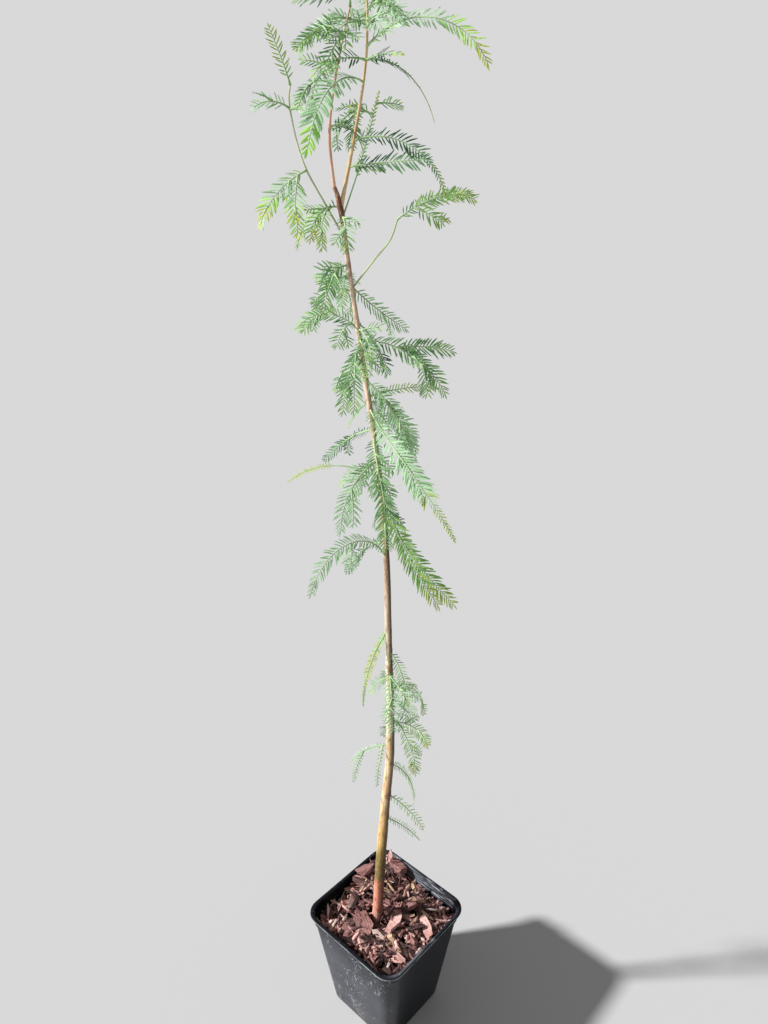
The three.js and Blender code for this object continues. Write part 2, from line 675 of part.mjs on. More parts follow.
// A toothed blade: a slim four-sided stem with one pointed tooth to each side in every step.
function bladeSolid(owner, stem) {
  const stations = stemStations(stem);
  const last = stations.length - 1;
  const lean = radians(BLADE.lean);
  const points = [];
  const faces = [];
  stations.slice(0, last).forEach(({ point, side, face, share }) => {
    const radius = lerp(BLADE.rootRadius, BLADE.tipRadius, share);
    [[1, 1], [-1, 1], [-1, -1], [1, -1]].forEach(([right, up]) => {
      points.push(point.clone().addScaledVector(side, right * radius).addScaledVector(face, up * radius * 0.8).toArray());
    });
  });
  const tip = points.push(stations[last].point.toArray()) - 1;
  faces.push([0, 1, 2], [0, 2, 3]);
  for (let i = 0; i + 1 < last; i += 1) {
    for (let edge = 0; edge < 4; edge += 1) {
      const a = i * 4 + edge;
      const b = i * 4 + ((edge + 1) % 4);
      const quad = [b, a, a + 4, b + 4];
      const right = { 1: -1, 3: 1 }[edge];
      const apex = right && toothApex(owner, stem, stations, i, right, lean);
      if (apex) {
        const n = points.push(apex.toArray()) - 1;
        quad.forEach((corner, k) => faces.push([corner, quad[(k + 1) % 4], n]));
      } else {
        faces.push([quad[0], quad[1], quad[2]], [quad[0], quad[2], quad[3]]);
      }
    }
  }
  for (let edge = 0; edge < 4; edge += 1) {
    faces.push([(last - 1) * 4 + ((edge + 1) % 4), (last - 1) * 4 + edge, tip]);
  }
  return solidFrom(points, faces);
}

// The tip of a tooth, or nothing where the stem is bare or the tooth would touch something else.
function toothApex(owner, stem, stations, i, right, lean) {
  const { point, along, side, share } = stations[i];
  if (share * stem.length < BLADE.bareRoot) return null;
  const root = point.clone().lerp(stations[i + 1].point, 0.5);
  const reach = needleLength(stem.needle, share);
  const apex = root.clone().addScaledVector(along, reach * Math.cos(lean))
    .addScaledVector(side, right * reach * Math.sin(lean));
  if (!isClear(owner, root, apex, 0.9, NEEDLE_CLEARANCE)) return null;
  stand(owner, root, apex, 0.6);
  return apex;
}

const limbSolids = {};
const pockets = {};
Object.entries(LIMBS).forEach(([name, limb]) => {
  pockets[name] = limbSolid(limb, GAP);
  const rows = limbRows(limb);
  rows.slice(1).forEach((row, i) => {
    stand(name, new THREE.Vector3(...rows[i]), new THREE.Vector3(...row), row[3]);
  });
  limbSolids[name] = limbSolid(limb);
});
['leader_left', 'leader_right', 'branch_left', 'branch_right'].forEach((name) => {
  limbSolids[name] = largestPiece(limbSolids[name].subtract(pockets.trunk));
});

// Stems stand first, then side twigs where they are clear of them, and then the teeth.
const names = Object.keys(SPRAYS);
const stemsByName = {};
names.forEach((name, number) => {
  stemsByName[name] = stemsOf(name, number);
  stemsByName[name].slice(0, mainStems(name))
    .forEach((stem) => standStem(name, stemStations(stem), BLADE.rootRadius));
});
names.forEach((name) => {
  const sure = mainStems(name);
  stemsByName[name] = stemsByName[name].filter((stem, k) => {
    if (k < sure) return true;
    const line = stemStations(stem);
    const clear = line.slice(1).every((station, i) => (
      isClear(name, line[i].point, station.point, BLADE.rootRadius, NEEDLE_CLEARANCE)
    ));
    if (clear) standStem(name, line, BLADE.rootRadius);
    return clear;
  });
});

const plant = new THREE.Group();
plant.add(meshFrom('pot', potSolid(), COLOURS.pot, 0.5));
plant.add(meshFrom('mulch', mulchSolid(pockets.trunk), COLOURS.mulch, 0.95));

const tree = new THREE.Group();
Object.keys(LIMBS).forEach((name) => {
  const [x, y, z] = LIMBS[name].bends[0];
  const young = name.startsWith('branch');
  const colour = young ? COLOURS.young_bark : COLOURS.bark;
  tree.add(meshFrom(name, limbSolids[name], colour, 0.8, new THREE.Vector3(x, y, z)));
});
names.forEach((name) => {
  const blades = stemsByName[name].map((stem) => bladeSolid(name, stem));
  const fused = blades.reduce((whole, blade) => whole.add(blade));
  const seated = Object.values(pockets).reduce((rest, pocket) => rest.subtract(pocket), fused);
  const foot = stemsByName[name][0].start;
  tree.add(meshFrom(name, largestPiece(seated), COLOURS.needles, 0.6, foot));
});
plant.add(tree);

export default plant;
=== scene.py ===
# %% [markdown]
# # A young bald cypress in a square nursery pot
#
# The real plant is a seedling under a metre tall. It has one thin stem that forks near its top, and
# drooping sprays of soft flat needles, and it stands in a small black plastic pot of bark mulch. The
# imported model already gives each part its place. This lesson loads that model as a fixed frame, sets
# the camera and the light, and then dresses the pot, the mulch, the bark and the needles in turn.

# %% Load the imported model
import math
from collections import defaultdict, namedtuple

import bpy
import numpy as np
from mathutils import Euler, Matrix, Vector, noise


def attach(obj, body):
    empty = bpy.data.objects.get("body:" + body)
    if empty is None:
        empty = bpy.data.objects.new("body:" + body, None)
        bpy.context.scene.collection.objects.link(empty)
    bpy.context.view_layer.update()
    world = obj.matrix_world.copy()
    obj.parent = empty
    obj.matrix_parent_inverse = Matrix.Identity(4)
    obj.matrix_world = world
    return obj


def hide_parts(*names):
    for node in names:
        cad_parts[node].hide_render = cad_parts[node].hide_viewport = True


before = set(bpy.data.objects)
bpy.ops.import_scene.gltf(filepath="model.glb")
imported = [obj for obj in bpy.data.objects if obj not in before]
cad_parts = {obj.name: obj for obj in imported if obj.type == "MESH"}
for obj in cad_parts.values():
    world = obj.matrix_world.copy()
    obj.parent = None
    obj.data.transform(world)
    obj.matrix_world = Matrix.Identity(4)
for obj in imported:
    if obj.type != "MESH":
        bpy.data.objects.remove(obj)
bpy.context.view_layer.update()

# %% [markdown]
# ## Camera
#
# The photograph looks down a little on the plant from close by, so the upright lines of the real
# scene lean towards a point far below. That point gives the camera's pitch, and the plant's own
# spread gives its distance.

# %% Camera
MM = 0.001
EYE = (-2 * MM, -537 * MM, 754 * MM)
PITCH_DOWN = 22.7
LENS = 27.03

bpy.ops.object.camera_add(location=EYE, rotation=(math.radians(90 - PITCH_DOWN), 0, 0))
camera = bpy.context.object
camera.data.lens = LENS
bpy.context.scene.camera = camera
print("camera at", [round(v, 3) for v in camera.location])

# %% [markdown]
# ## Floor and light
#
# A low sun lit the real plant from the left. One sun lamp with a wide disc stands there too and gives
# a soft-edged shade, and a pale sky fills the rest. The sky that the camera sees has the floor's own
# brightness, so no horizon line runs behind the thin needles. The plain view transform keeps greens
# as strong as they are painted.

# %% Colours from screen levels
def linear(level):
    """One screen level from 0 to 255 as linear light."""
    share = level / 255
    if share <= 0.04045:
        return share / 12.92
    return ((share + 0.055) / 1.055) ** 2.4


def paint(red, green, blue):
    """A colour from its three screen levels."""
    return (linear(red), linear(green), linear(blue), 1)


# %% Floor
FLOOR_SIZE = 120
FLOOR_SHADE = 0.62

bpy.ops.mesh.primitive_plane_add(size=FLOOR_SIZE)
floor = bpy.context.object
floor.name = "floor"
floor_finish = bpy.data.materials.new("pale_floor")
floor_finish.use_nodes = True
floor_shader = floor_finish.node_tree.nodes["Principled BSDF"]
floor_shader.inputs["Base Color"].default_value = (FLOOR_SHADE, FLOOR_SHADE, FLOOR_SHADE, 1)
floor_shader.inputs["Roughness"].default_value = 0.9
floor_shader.inputs["Specular IOR Level"].default_value = 0
floor.data.materials.append(floor_finish)
print("the floor is", FLOOR_SIZE, "m wide")

# %% Sun and sky
SUN_FROM = Vector((-1, -0.07, 0.66))
SUN_STRENGTH = 5
SUN_DISC = 4
SKY_LIGHT = 0.24

bpy.ops.object.light_add(type="SUN", location=SUN_FROM)
sun = bpy.context.object
sun.data.energy = SUN_STRENGTH
sun.data.angle = math.radians(SUN_DISC)
sun.rotation_euler = SUN_FROM.to_track_quat("Z", "Y").to_euler()

floor_glow = FLOOR_SHADE * (SKY_LIGHT + SUN_STRENGTH * SUN_FROM.normalized().z / math.pi)
sky = bpy.data.worlds.new("soft_sky")
bpy.context.scene.world = sky
sky.use_nodes = True
nodes = sky.node_tree.nodes
path = nodes.new("ShaderNodeLightPath")
strength = nodes.new("ShaderNodeMapRange")
strength.inputs["To Min"].default_value = SKY_LIGHT
strength.inputs["To Max"].default_value = floor_glow
sky.node_tree.links.new(path.outputs["Is Camera Ray"], strength.inputs["Value"])
sky.node_tree.links.new(strength.outputs["Result"], nodes["Background"].inputs["Strength"])
nodes["Background"].inputs["Color"].default_value = (1, 1, 1, 1)
bpy.context.scene.view_settings.view_transform = "Standard"
print("floor glow", round(floor_glow, 3))

# %% [markdown]
# ## Writing finishes as sums
#
# A finish mixes a few patterns, such as streaks, specks and dust. Wiring them by hand in the editor
# is slow to read back. Here a small class wraps a socket, so that a sum or product written in Python
# adds the Math node for it. A second class makes any other node from its type, settings and inputs,
# and a third builds on it with the patterns and layers of colour that come back in every finish.

# %% A socket that can be used in sums
class Value:
    """An output socket. Each operator adds one Math node and returns its result."""

    def __init__(self, finish, socket):
        self.finish = finish
        self.socket = socket

    def maths(self, operation, first, second):
        return self.finish.node("ShaderNodeMath", {"operation": operation}, {0: first, 1: second})

    def __add__(self, other):
        return self.maths("ADD", self, other)

    def __sub__(self, other):
        return self.maths("SUBTRACT", self, other)

    def __rsub__(self, other):
        return self.maths("SUBTRACT", other, self)

    def __mul__(self, other):
        return self.maths("MULTIPLY", self, other)

    __radd__ = __add__
    __rmul__ = __mul__


# %% Nodes of a finish
class Nodes:
    """The nodes of a new material."""

    def __init__(self, name):
        self.material = bpy.data.materials.new(name)
        self.material.use_nodes = True
        self.tree = self.material.node_tree
        self.tree.nodes.clear()

    def node(self, kind, settings=None, inputs=None, output=0):
        made = self.tree.nodes.new(kind)
        for key, value in (settings or {}).items():
            if key == "stops":
                self.set_stops(made.color_ramp, value)
            else:
                setattr(made, key, value)
        for key, value in (inputs or {}).items():
            if isinstance(value, Value):
                self.tree.links.new(value.socket, made.inputs[key])
            else:
                made.inputs[key].default_value = value
        if output is not None:
            return Value(self, made.outputs[output])

    def set_stops(self, ramp, stops):
        while len(ramp.elements) < len(stops):
            ramp.elements.new(1)
        for element, (place, colour) in zip(ramp.elements, stops):
            element.position = place
            element.color = colour

    def close(self, **inputs):
        """Adds the shader and the output; an underscore in an input's name stands for a space."""
        named = {key.replace("_", " "): value for key, value in inputs.items()}
        shader = self.node("ShaderNodeBsdfPrincipled", inputs=named)
        self.node("ShaderNodeOutputMaterial", inputs={"Surface": shader}, output=None)
        return self.material


# %% Patterns and colours of a finish
class Finish(Nodes):
    """A material written as patterns, colours and a bump."""

    def place(self, scale=(1, 1, 1)):
        """Object coordinates, stretched by a scale."""
        spot = self.node("ShaderNodeTexCoord", output="Object")
        return self.node("ShaderNodeMapping", inputs={"Vector": spot, "Scale": scale})

    def drawn_out(self, length, turn):
        """Object coordinates on which a pattern is drawn out into lines, turned by angles in degrees."""
        spot = self.node("ShaderNodeTexCoord", output="Object")
        turned = [math.radians(angle) for angle in turn]
        sizes = {"Vector": spot, "Scale": (length, 1, 1), "Rotation": turned}
        return self.node("ShaderNodeMapping", {"vector_type": "TEXTURE"}, sizes)

    def noise(self, place, scale, detail=3):
        return self.node("ShaderNodeTexNoise", inputs={"Vector": place, "Scale": scale, "Detail": detail})

    def step(self, value, low, high):
        """0 below low, 1 above high, and a soft rise between them."""
        bands = {"Value": value, "From Min": low, "From Max": high}
        return self.node("ShaderNodeMapRange", {"interpolation_type": "SMOOTHSTEP"}, bands)

    def spots(self, place, scale, detail, low, high):
        """Spots of noise: 0 between them, 1 inside them, with a soft edge."""
        return self.step(self.noise(place, scale, detail), low, high)

    def axis(self, place, name):
        return self.node("ShaderNodeSeparateXYZ", inputs={0: place}, output=name)

    def mark(self, label):
        """A number that each point of the piece carries."""
        return self.node("ShaderNodeAttribute", {"attribute_name": label}, output="Fac")

    def ramp(self, value, stops):
        return self.node("ShaderNodeValToRGB", {"stops": stops}, {"Fac": value})

    def mix(self, share, under, over):
        return self.node("ShaderNodeMix", {"data_type": "RGBA"}, {0: share, 6: under, 7: over}, output=2)

    def layered(self, under, *layers):
        """Lays colours over a first one; each layer is its share and its screen levels."""
        for share, levels in layers:
            under = self.mix(share, under, paint(*levels))
        return under

    def bump(self, height, strength, distance):
        sizes = {"Height": height, "Strength": strength, "Distance": distance}
        return self.node("ShaderNodeBump", inputs=sizes)


# %% [markdown]
# ## Helpers for pieces
#
# Every piece rides on the one body of this part and stands for the imported solids that it dresses.
# One call does both. A repeatable number from two counters gives each chip and needle its own turn,
# and the same numbers come back in every run.

# %% Dress and chance
def dress(piece, finish, slot, *replaced):
    """Gives a piece its finish and hides the solids that it stands for; the slot is not used."""
    piece.data.materials.clear()
    piece.data.materials.append(finish)
    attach(piece, "root")
    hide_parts(*replaced)
    print(piece.name, "has", len(piece.data.polygons), "faces and stands for", len(replaced), "solids")


def chance(a, b):
    """A repeatable number from 0 to 1 for a pair of counters."""
    s = math.sin(a * 12.9898 + b * 78.233) * 43758.5453
    return s - math.floor(s)


def between(ends, a, b):
    low, high = ends
    return low + (high - low) * chance(a, b)


def only(piece):
    """Selects one object and makes it the active one."""
    bpy.ops.object.select_all(action="DESELECT")
    piece.select_set(True)
    bpy.context.view_layer.objects.active = piece


# %% [markdown]
# ## Pot
#
# The pot is formed from one thin sheet of black plastic: a square that widens upwards, with round
# corners, a stepped collar and a narrow lip. It could be a box with a bevel, but each level has its
# own width, so one rounded square is extruded from level to level, up the outside, over the lip and
# down the inside. That gives the wall its true thickness and the lip its bead. The same few steps
# serve the mulch bed later.

# %% Pot sizes
POT_TURN = 2.3
POT_CORNER = 0.145
WALL_FOOT = (79, 2.5)
WALL_TOP = (105.2, 103)
WALL = 1.2
FOOT_RECESS = {"inset": 9, "slope": 0.8, "depth": 0.9}
DRAIN = {"radius": 4.5, "reach": 36, "plug": 12}


def wall_width(level):
    """Width of the pot's outer wall at a level below the collar."""
    rise = (level - WALL_FOOT[1]) / (WALL_TOP[1] - WALL_FOOT[1])
    return WALL_FOOT[0] + (WALL_TOP[0] - WALL_FOOT[0]) * rise


def inner_width(level):
    return wall_width(level) - 2 * WALL


POT_START = 74
POT_FOOT = [(76.6, 0.5), (78.4, 1.4), WALL_FOOT]
POT_WALL = [(wall_width(level), level) for level in (20, 40, 60, 80, 95, 102.3)]
POT_RIM = [
    (105.4, 103.1), (106.7, 103.5), (107.5, 104), (107.8, 105.2), (107.8, 111.7), (108.4, 112.1),
    (111.8, 112.2), (112.7, 112.5), (113, 113), (112.9, 113.5), (112.4, 113.9), (111.7, 114),
]
POT_INSIDE = [
    (106.6, 114), (106, 113.8), (105.6, 113.2), (105.4, 112), (105.2, 105.6), (104.6, 104.7),
    (103.2, 104), (inner_width(101), 101), (inner_width(4), 4), (inner_width(2) - 2, 2),
]
stations = POT_FOOT + POT_WALL + POT_RIM + POT_INSIDE
print("pot profile has", len(stations), "levels")

# %% A rounded square and its extrusion
def rounded_square(name, width, level, segments):
    """A flat square with round corners, turned as the pot is, left selected in edit mode."""
    bpy.ops.object.select_all(action="DESELECT")
    bpy.ops.mesh.primitive_plane_add(size=width * MM, location=(0, 0, level * MM))
    square = bpy.context.object
    square.name = name
    square.rotation_euler.z = math.radians(45 + POT_TURN)
    bpy.ops.object.transform_apply(location=True, rotation=True, scale=True)
    bpy.ops.object.mode_set(mode="EDIT")
    bpy.ops.mesh.select_all(action="SELECT")
    bpy.ops.mesh.bevel(offset=POT_CORNER * width * MM, segments=segments, affect="VERTICES")
    bpy.ops.mesh.select_all(action="SELECT")
    return square


def extrude(rise, grow):
    """Extrudes the selected face upwards and widens it."""
    bpy.ops.mesh.extrude_region_move(TRANSFORM_OT_translate={"value": (0, 0, rise)})
    bpy.ops.transform.resize(value=(grow, grow, 1), center_override=(0, 0, 0))


def close_shell(piece):
    """Turns all faces outwards and leaves edit mode."""
    bpy.ops.mesh.select_all(action="SELECT")
    bpy.ops.mesh.normals_make_consistent(inside=False)
    bpy.ops.object.mode_set(mode="OBJECT")
    print(piece.name, "has", len(piece.data.polygons), "faces")


# %% Extrude the pot
pot = rounded_square("pot_shell", POT_START, level=0, segments=7)
width, level = POT_START, 0
for next_width, next_level in stations:
    extrude((next_level - level) * MM, next_width / width)
    width, level = next_width, next_level
close_shell(pot)

# %% Press the foot in
bpy.ops.object.mode_set(mode="EDIT")
bpy.ops.mesh.select_mode(type="FACE")
bpy.ops.mesh.select_all(action="DESELECT")
bpy.ops.object.mode_set(mode="OBJECT")
for face in pot.data.polygons:
    face.select = face.center.z < 0.1 * MM and face.normal.z < -0.9
bpy.ops.object.mode_set(mode="EDIT")
bpy.ops.mesh.inset(thickness=FOOT_RECESS["inset"] * MM)
bpy.ops.mesh.inset(thickness=FOOT_RECESS["slope"] * MM)
bpy.ops.transform.translate(value=(0, 0, FOOT_RECESS["depth"] * MM))
bpy.ops.mesh.select_mode(type="VERT")
bpy.ops.object.mode_set(mode="OBJECT")
print("the foot stands on", min(spot.co.z for spot in pot.data.vertices), "m")

# %% Cut the drain holes
CREASE = 32


def drain_plug(corner):
    """A round plug that cuts one drain hole through the floor."""
    angle = math.radians(POT_TURN + 90 * corner)
    spot = (DRAIN["reach"] * MM * math.cos(angle), DRAIN["reach"] * MM * math.sin(angle), 0)
    size = {"radius": DRAIN["radius"] * MM, "depth": DRAIN["plug"] * MM}
    bpy.ops.mesh.primitive_cylinder_add(vertices=24, location=spot, **size)
    return bpy.context.object


plugs = [drain_plug(corner) for corner in range(4)]
for plug in plugs:
    only(pot)
    cut = pot.modifiers.new("drain", "BOOLEAN")
    cut.operation = "DIFFERENCE"
    cut.object = plug
    bpy.ops.object.modifier_apply(modifier="drain")
    bpy.data.objects.remove(plug)
only(pot)
bpy.ops.object.shade_smooth_by_angle(angle=math.radians(CREASE))

# %% Mark the outside, the lip's highlight band and the upper inside
# The outside takes a pale layer of dust and painted sunlight, thinner on the lip; a band on the front of
# the lip's outer edge takes a painted highlight; the inside above 103 mm takes silt and painted sunlight.
OUTSIDE_TO = 112.4
LIP_DUST_AND_SUNLIGHT = 0.35
LIP_HIGHLIGHT_FROM, LIP_HIGHLIGHT_TO = 112.9, 113.6
UPPER_INSIDE_FROM = 103
marks = pot.data.attributes
for label in ("outside", "worn", "silt"):
    marks.new(label, "FLOAT", "POINT")
for spot in pot.data.vertices:
    level = spot.co.z / MM
    faces_out = spot.normal.x * spot.co.x + spot.normal.y * spot.co.y > 0
    in_front = spot.co.y < 0
    marks["outside"].data[spot.index].value = faces_out * (1 if level < OUTSIDE_TO else LIP_DUST_AND_SUNLIGHT)
    # a painted highlight along the front of the lip's outer edge
    marks["worn"].data[spot.index].value = faces_out and in_front and LIP_HIGHLIGHT_FROM <= level <= LIP_HIGHLIGHT_TO
    # the upper inside takes silt and painted sunlight
    marks["silt"].data[spot.index].value = level > UPPER_INSIDE_FROM and not faces_out
print("pot with drain holes has", len(pot.data.polygons), "faces")

# %% [markdown]
# ## Pot plastic
#
# Cheap black plastic is never quite black outdoors. The two sides that face left, towards the sun, get a
# pale layer that is partly dust and partly painted sunlight; pale hairs and flecks cross it, and dry
# splashes whiten the foot. On the inner walls that face the sun, a film that is partly silt and partly
# painted sunlight lies above the mulch, with light lines that are painted highlights of the collar's
# ridges, and a painted highlight runs along the front edge of the lip. Each of these is one noise pattern
# with its own stretch. A place along the pot keeps the pale layer to its side, and point attributes keep
# it outside, the film inside and the highlight on the lip's edge. The pale layer also takes away some of
# the gloss.

# %% Dust and painted sunlight, scratches and splashes outside
def dusty_sunlit_side(finish, here, left, dust_and_sunlight, scratches):
    """The colour of the black wall under a pale layer of dust and painted sunlight, pale scratches, flecks
    and splashes.
    """
    flecks = finish.spots(here, 420, 4, 0.72, 0.77)
    cloud = finish.spots(here, 30, 6, 0.3, 0.7)
    low = 1 - finish.step(finish.axis(here, "Z"), 4 * MM, 34 * MM)
    # The pale layer is partly dust and partly painted sunlight on the sides that face the sun; the
    # scratches, flecks and splashes are also kept mostly to those sides.
    return finish.layered(
        paint(13, 17, 25), (dust_and_sunlight, (90, 91, 98)), (scratches * left * 0.7, (168, 172, 178)),
        (flecks * (left * 0.6 + 0.2), (176, 174, 168)), (low * cloud * left * 0.4, (134, 128, 122)),
    )


# %% Painted highlight on the lip, and silt with painted sunlight inside
def highlit_lip(finish, here, under):
    # A painted highlight along the front of the lip's outer edge, broken up by patches.
    highlight_patches = finish.spots(here, 60, 3, 0.3, 0.6)
    return finish.layered(under, (finish.mark("worn") * (highlight_patches * 0.75 + 0.1), (182, 188, 188)))


def silted_sunlit_inside(finish, here, right, under):
    """Dried silt with painted sunlight on the inner walls that face the sun, and light lines that are
    painted highlights of the collar's ridges, thinner towards the right-hand corner.
    """
    silt = finish.mark("silt") * right
    dried = finish.spots(finish.place((1, 1, 6)), 70, 4, 0.42, 0.66)
    ridge_highlights = finish.spots(finish.place((0.07, 0.07, 1)), 760, 3, 0.54, 0.64)
    thinning = 1 - finish.step(finish.axis(here, "X"), 16 * MM, 50 * MM) * 0.85
    # A film that is partly silt and partly painted sunlight, and light lines that are painted highlights of
    # the collar's ridges.
    silt_and_sunlight = silt * thinning * (dried * 0.4 + 0.45)
    return finish.layered(under, (silt_and_sunlight, (144, 147, 158)), (silt * ridge_highlights * 0.6, (206, 208, 216)))


# %% Pot plastic finish
def pot_plastic():
    finish = Finish("pot_plastic")
    here = finish.place()
    right = finish.step(finish.axis(here, "X"), -6 * MM, 14 * MM)
    left = finish.mark("outside") * (1 - right)
    cloud = finish.spots(here, 30, 6, 0.3, 0.7)
    # The sides that face left, towards the sun, take a pale layer that is partly dust and partly painted
    # sunlight; it thins towards the top.
    below = 1 - finish.step(finish.axis(here, "Z"), 66 * MM, 108 * MM) * 0.6
    dust_and_sunlight = left * below * (cloud * 0.4 + 0.6)
    hairs = finish.spots(finish.drawn_out(14, (0, 38, 40)), 460, 2, 0.59, 0.66)
    scuffs = finish.spots(finish.place((1, 1, 0.08)), 360, 2, 0.64, 0.74)
    patches = finish.spots(here, 50, 2, 0.44, 0.58)
    outside = dusty_sunlit_side(finish, here, left, dust_and_sunlight, (scuffs * 0.6 + hairs) * patches)
    grain = finish.noise(here, 1600, 2)
    return finish.close(
        Base_Color=silted_sunlit_inside(finish, here, right, highlit_lip(finish, here, outside)),
        Roughness=dust_and_sunlight * 0.2 + scuffs * 0.06 + 0.38,
        Normal=finish.bump(grain + (scuffs + hairs) * patches * 0.5, 0.22, 0.25 * MM),
        Specular_IOR_Level=0.18,
    )


dress(pot, pot_plastic(), "pot_plastic", "pot")

# %% [markdown]
# ## Mulch bed
#
# Under the loose chips lies dark, fine bark that fills the pot. It only shows in the gaps, but it
# sets the level: a low dome round the stem, heaped towards the back corner and a little along the
# left front side. The bed starts as the pot's own rounded square, is extruded up to the level, and
# gets inset rings for the dome and lumps.

# %% Levels inside the pot
MULCH = {
    "edge": 97, "middle": 105, "heap": 14, "heap_heading": 106, "side_heap": 6, "side_heading": 222,
    "foot": 30, "bed_sink": 3.6,
}


def mulch_level(share, heading):
    """Height of the mulch at a share of the way to the wall and at a heading in degrees."""
    dome = MULCH["middle"] + (MULCH["edge"] - MULCH["middle"]) * share * share
    back = max(0, math.cos(math.radians(heading - MULCH["heap_heading"])))
    side = max(0, math.cos(math.radians(heading - MULCH["side_heading"])))
    return dome + MULCH["heap"] * share * back ** 4 + MULCH["side_heap"] * share ** 3 * side ** 2


def mulch_level_at(x, y):
    share = min(1, math.hypot(x, y) / (inner_width(MULCH["edge"]) / 2))
    return mulch_level(share, math.degrees(math.atan2(y, x)))


print("the heap rises to", round(mulch_level(1, MULCH["heap_heading"]), 1), "mm at the back corner")


# %% Mulch bed shape
BED_ROOM = 1
BED_TOP = MULCH["edge"] - 2
BED_RINGS = 15
LUMPS = [(0.35, 0, 1.6), (0.9, 9, 0.8)]


def lump_at(x, y):
    """Large and small lumps; each row is a scale, a layer of the noise and a height."""
    return sum(noise.noise(Vector((x, y, layer)) * scale) * height for scale, layer, height in LUMPS)


bed_width = inner_width(MULCH["foot"]) - BED_ROOM
bed = rounded_square("mulch_bed", bed_width, MULCH["foot"], segments=5)
extrude((BED_TOP - MULCH["foot"]) * MM, (inner_width(MULCH["edge"]) - BED_ROOM) / bed_width)
for ring in range(BED_RINGS):
    extrude(0, (BED_RINGS - ring) / (BED_RINGS - ring + 1))
bpy.ops.mesh.poke()
close_shell(bed)
for spot in bed.data.vertices:
    x, y, z = spot.co / MM
    if z > BED_TOP - 1:
        spot.co.z = (mulch_level_at(x, y) - MULCH["bed_sink"] + lump_at(x, y)) * MM


# %% [markdown]
# ## Bark chips
#
# Bark mulch is bark run through a chipper: flat blocks, thin flakes and long splinters with ragged
# ends, pink to red-brown inside and nearly black outside. Every chip could be modelled on its own,
# but the eye can't tell twenty shapes from a thousand. So a few chips are cut and roughened once,
# and copies of their points are scaled, turned and joined into one mesh for each kind of bark.

# %% Cut one chip
SPLIT = {"fractal": 0.35, "fractal_along_normal": 0.6}
CUT = {"turn_luck": 0.8, "reach": 0.3, "reach_luck": 0.16}


def chip_points(cuts, sides, slant, seed):
    """The points and faces of one chip: a rough block about 1 long, split along some planes."""
    bpy.ops.object.select_all(action="DESELECT")
    bpy.ops.mesh.primitive_cube_add(size=1)
    block = bpy.context.object
    bpy.ops.object.mode_set(mode="EDIT")
    bpy.ops.mesh.select_all(action="SELECT")
    if cuts:
        bpy.ops.mesh.subdivide(number_cuts=cuts, seed=seed, **SPLIT)
    for k in range(sides):
        turn = 2 * math.pi * (k + CUT["turn_luck"] * chance(seed, k)) / sides
        reach = CUT["reach"] + CUT["reach_luck"] * chance(seed, 20 + k)
        ray = Vector((math.cos(turn), math.sin(turn), slant * (2 * chance(seed, 40 + k) - 1)))
        bpy.ops.mesh.select_all(action="SELECT")
        bpy.ops.mesh.bisect(plane_co=ray * reach, plane_no=ray, use_fill=True, clear_outer=True)
    bpy.ops.object.mode_set(mode="OBJECT")
    points = np.array([spot.co[:] for spot in block.data.vertices])
    points -= (points.min(axis=0) + points.max(axis=0)) / 2
    points /= np.ptp(points, axis=0)
    faces = [list(face.vertices) for face in block.data.polygons]
    bpy.data.objects.remove(block)
    return points, faces


BLOCK_SHAPES = [chip_points(5, 5, 0.3, 11 + k) for k in range(7)]
CHIP_SHAPES = [chip_points(1, 5, 0.4, 31 + k) for k in range(7)]
SLIVER_SHAPES = [chip_points(0, 4, 0.7, 51 + k) for k in range(7)]
for label, shapes in (("block", BLOCK_SHAPES), ("chip", CHIP_SHAPES), ("sliver", SLIVER_SHAPES)):
    print(label, "faces:", [len(faces) for points, faces in shapes])


# %% Gather copies into joined meshes
class Heap:
    """Points, faces and grain places of many small copies that become one mesh."""

    def __init__(self):
        self.points = []
        self.faces = []
        self.grain = []
        self.count = 0

    def add(self, points, faces, grain=None):
        self.points.append(points)
        self.faces.extend([self.count + i for i in face] for face in faces)
        if grain is not None:
            self.grain.append(grain)
        self.count += len(points)

    def piece(self, name):
        mesh = bpy.data.meshes.new(name)
        mesh.from_pydata((np.concatenate(self.points) * MM).tolist(), [], self.faces)
        if self.grain:
            grain = np.concatenate(self.grain)
            layer = mesh.uv_layers.new(name="grain")
            corners = np.empty(len(mesh.loops), dtype=np.int32)
            mesh.loops.foreach_get("vertex_index", corners)
            layer.data.foreach_set("uv", grain[corners].astype(np.float32).ravel())
        made = bpy.data.objects.new(name, mesh)
        bpy.context.scene.collection.objects.link(made)
        return made


# %% Lay a chip
CORNER_TURN = math.radians(45 + POT_TURN)
ACROSS = (math.cos(CORNER_TURN), math.sin(CORNER_TURN))
TO_POT = np.array([ACROSS, (-ACROSS[1], ACROSS[0])])
INSIDE_LEVELS = [level for width, level in reversed(POT_INSIDE)]
INSIDE_WIDTHS = [width for width, level in reversed(POT_INSIDE)]
WALL_ROOM = 0.5
PUSHES = 12
PUSH_PAST = 0.05
GRAIN = {"across": 10, "up": 12, "spread": 40}


def pushed_inside(points):
    """Moves a chip in from the pot's wall until no point of it stands through."""
    half = np.interp(points[:, 2], INSIDE_LEVELS, INSIDE_WIDTHS) / 2 - WALL_ROOM
    corner = 2 * POT_CORNER * half
    for attempt in range(PUSHES):
        own = points[:, :2] @ TO_POT.T
        past = np.abs(own) - (half - corner)[:, None]
        out = np.maximum(past, 0)
        reach = np.linalg.norm(out, axis=1)
        worst = int(np.argmax(reach - corner))
        if reach[worst] <= corner[worst]:
            break
        ray = np.sign(own[worst]) * out[worst] / reach[worst]
        points[:, :2] -= (ray * (reach[worst] - corner[worst] + PUSH_PAST)) @ TO_POT
    return points


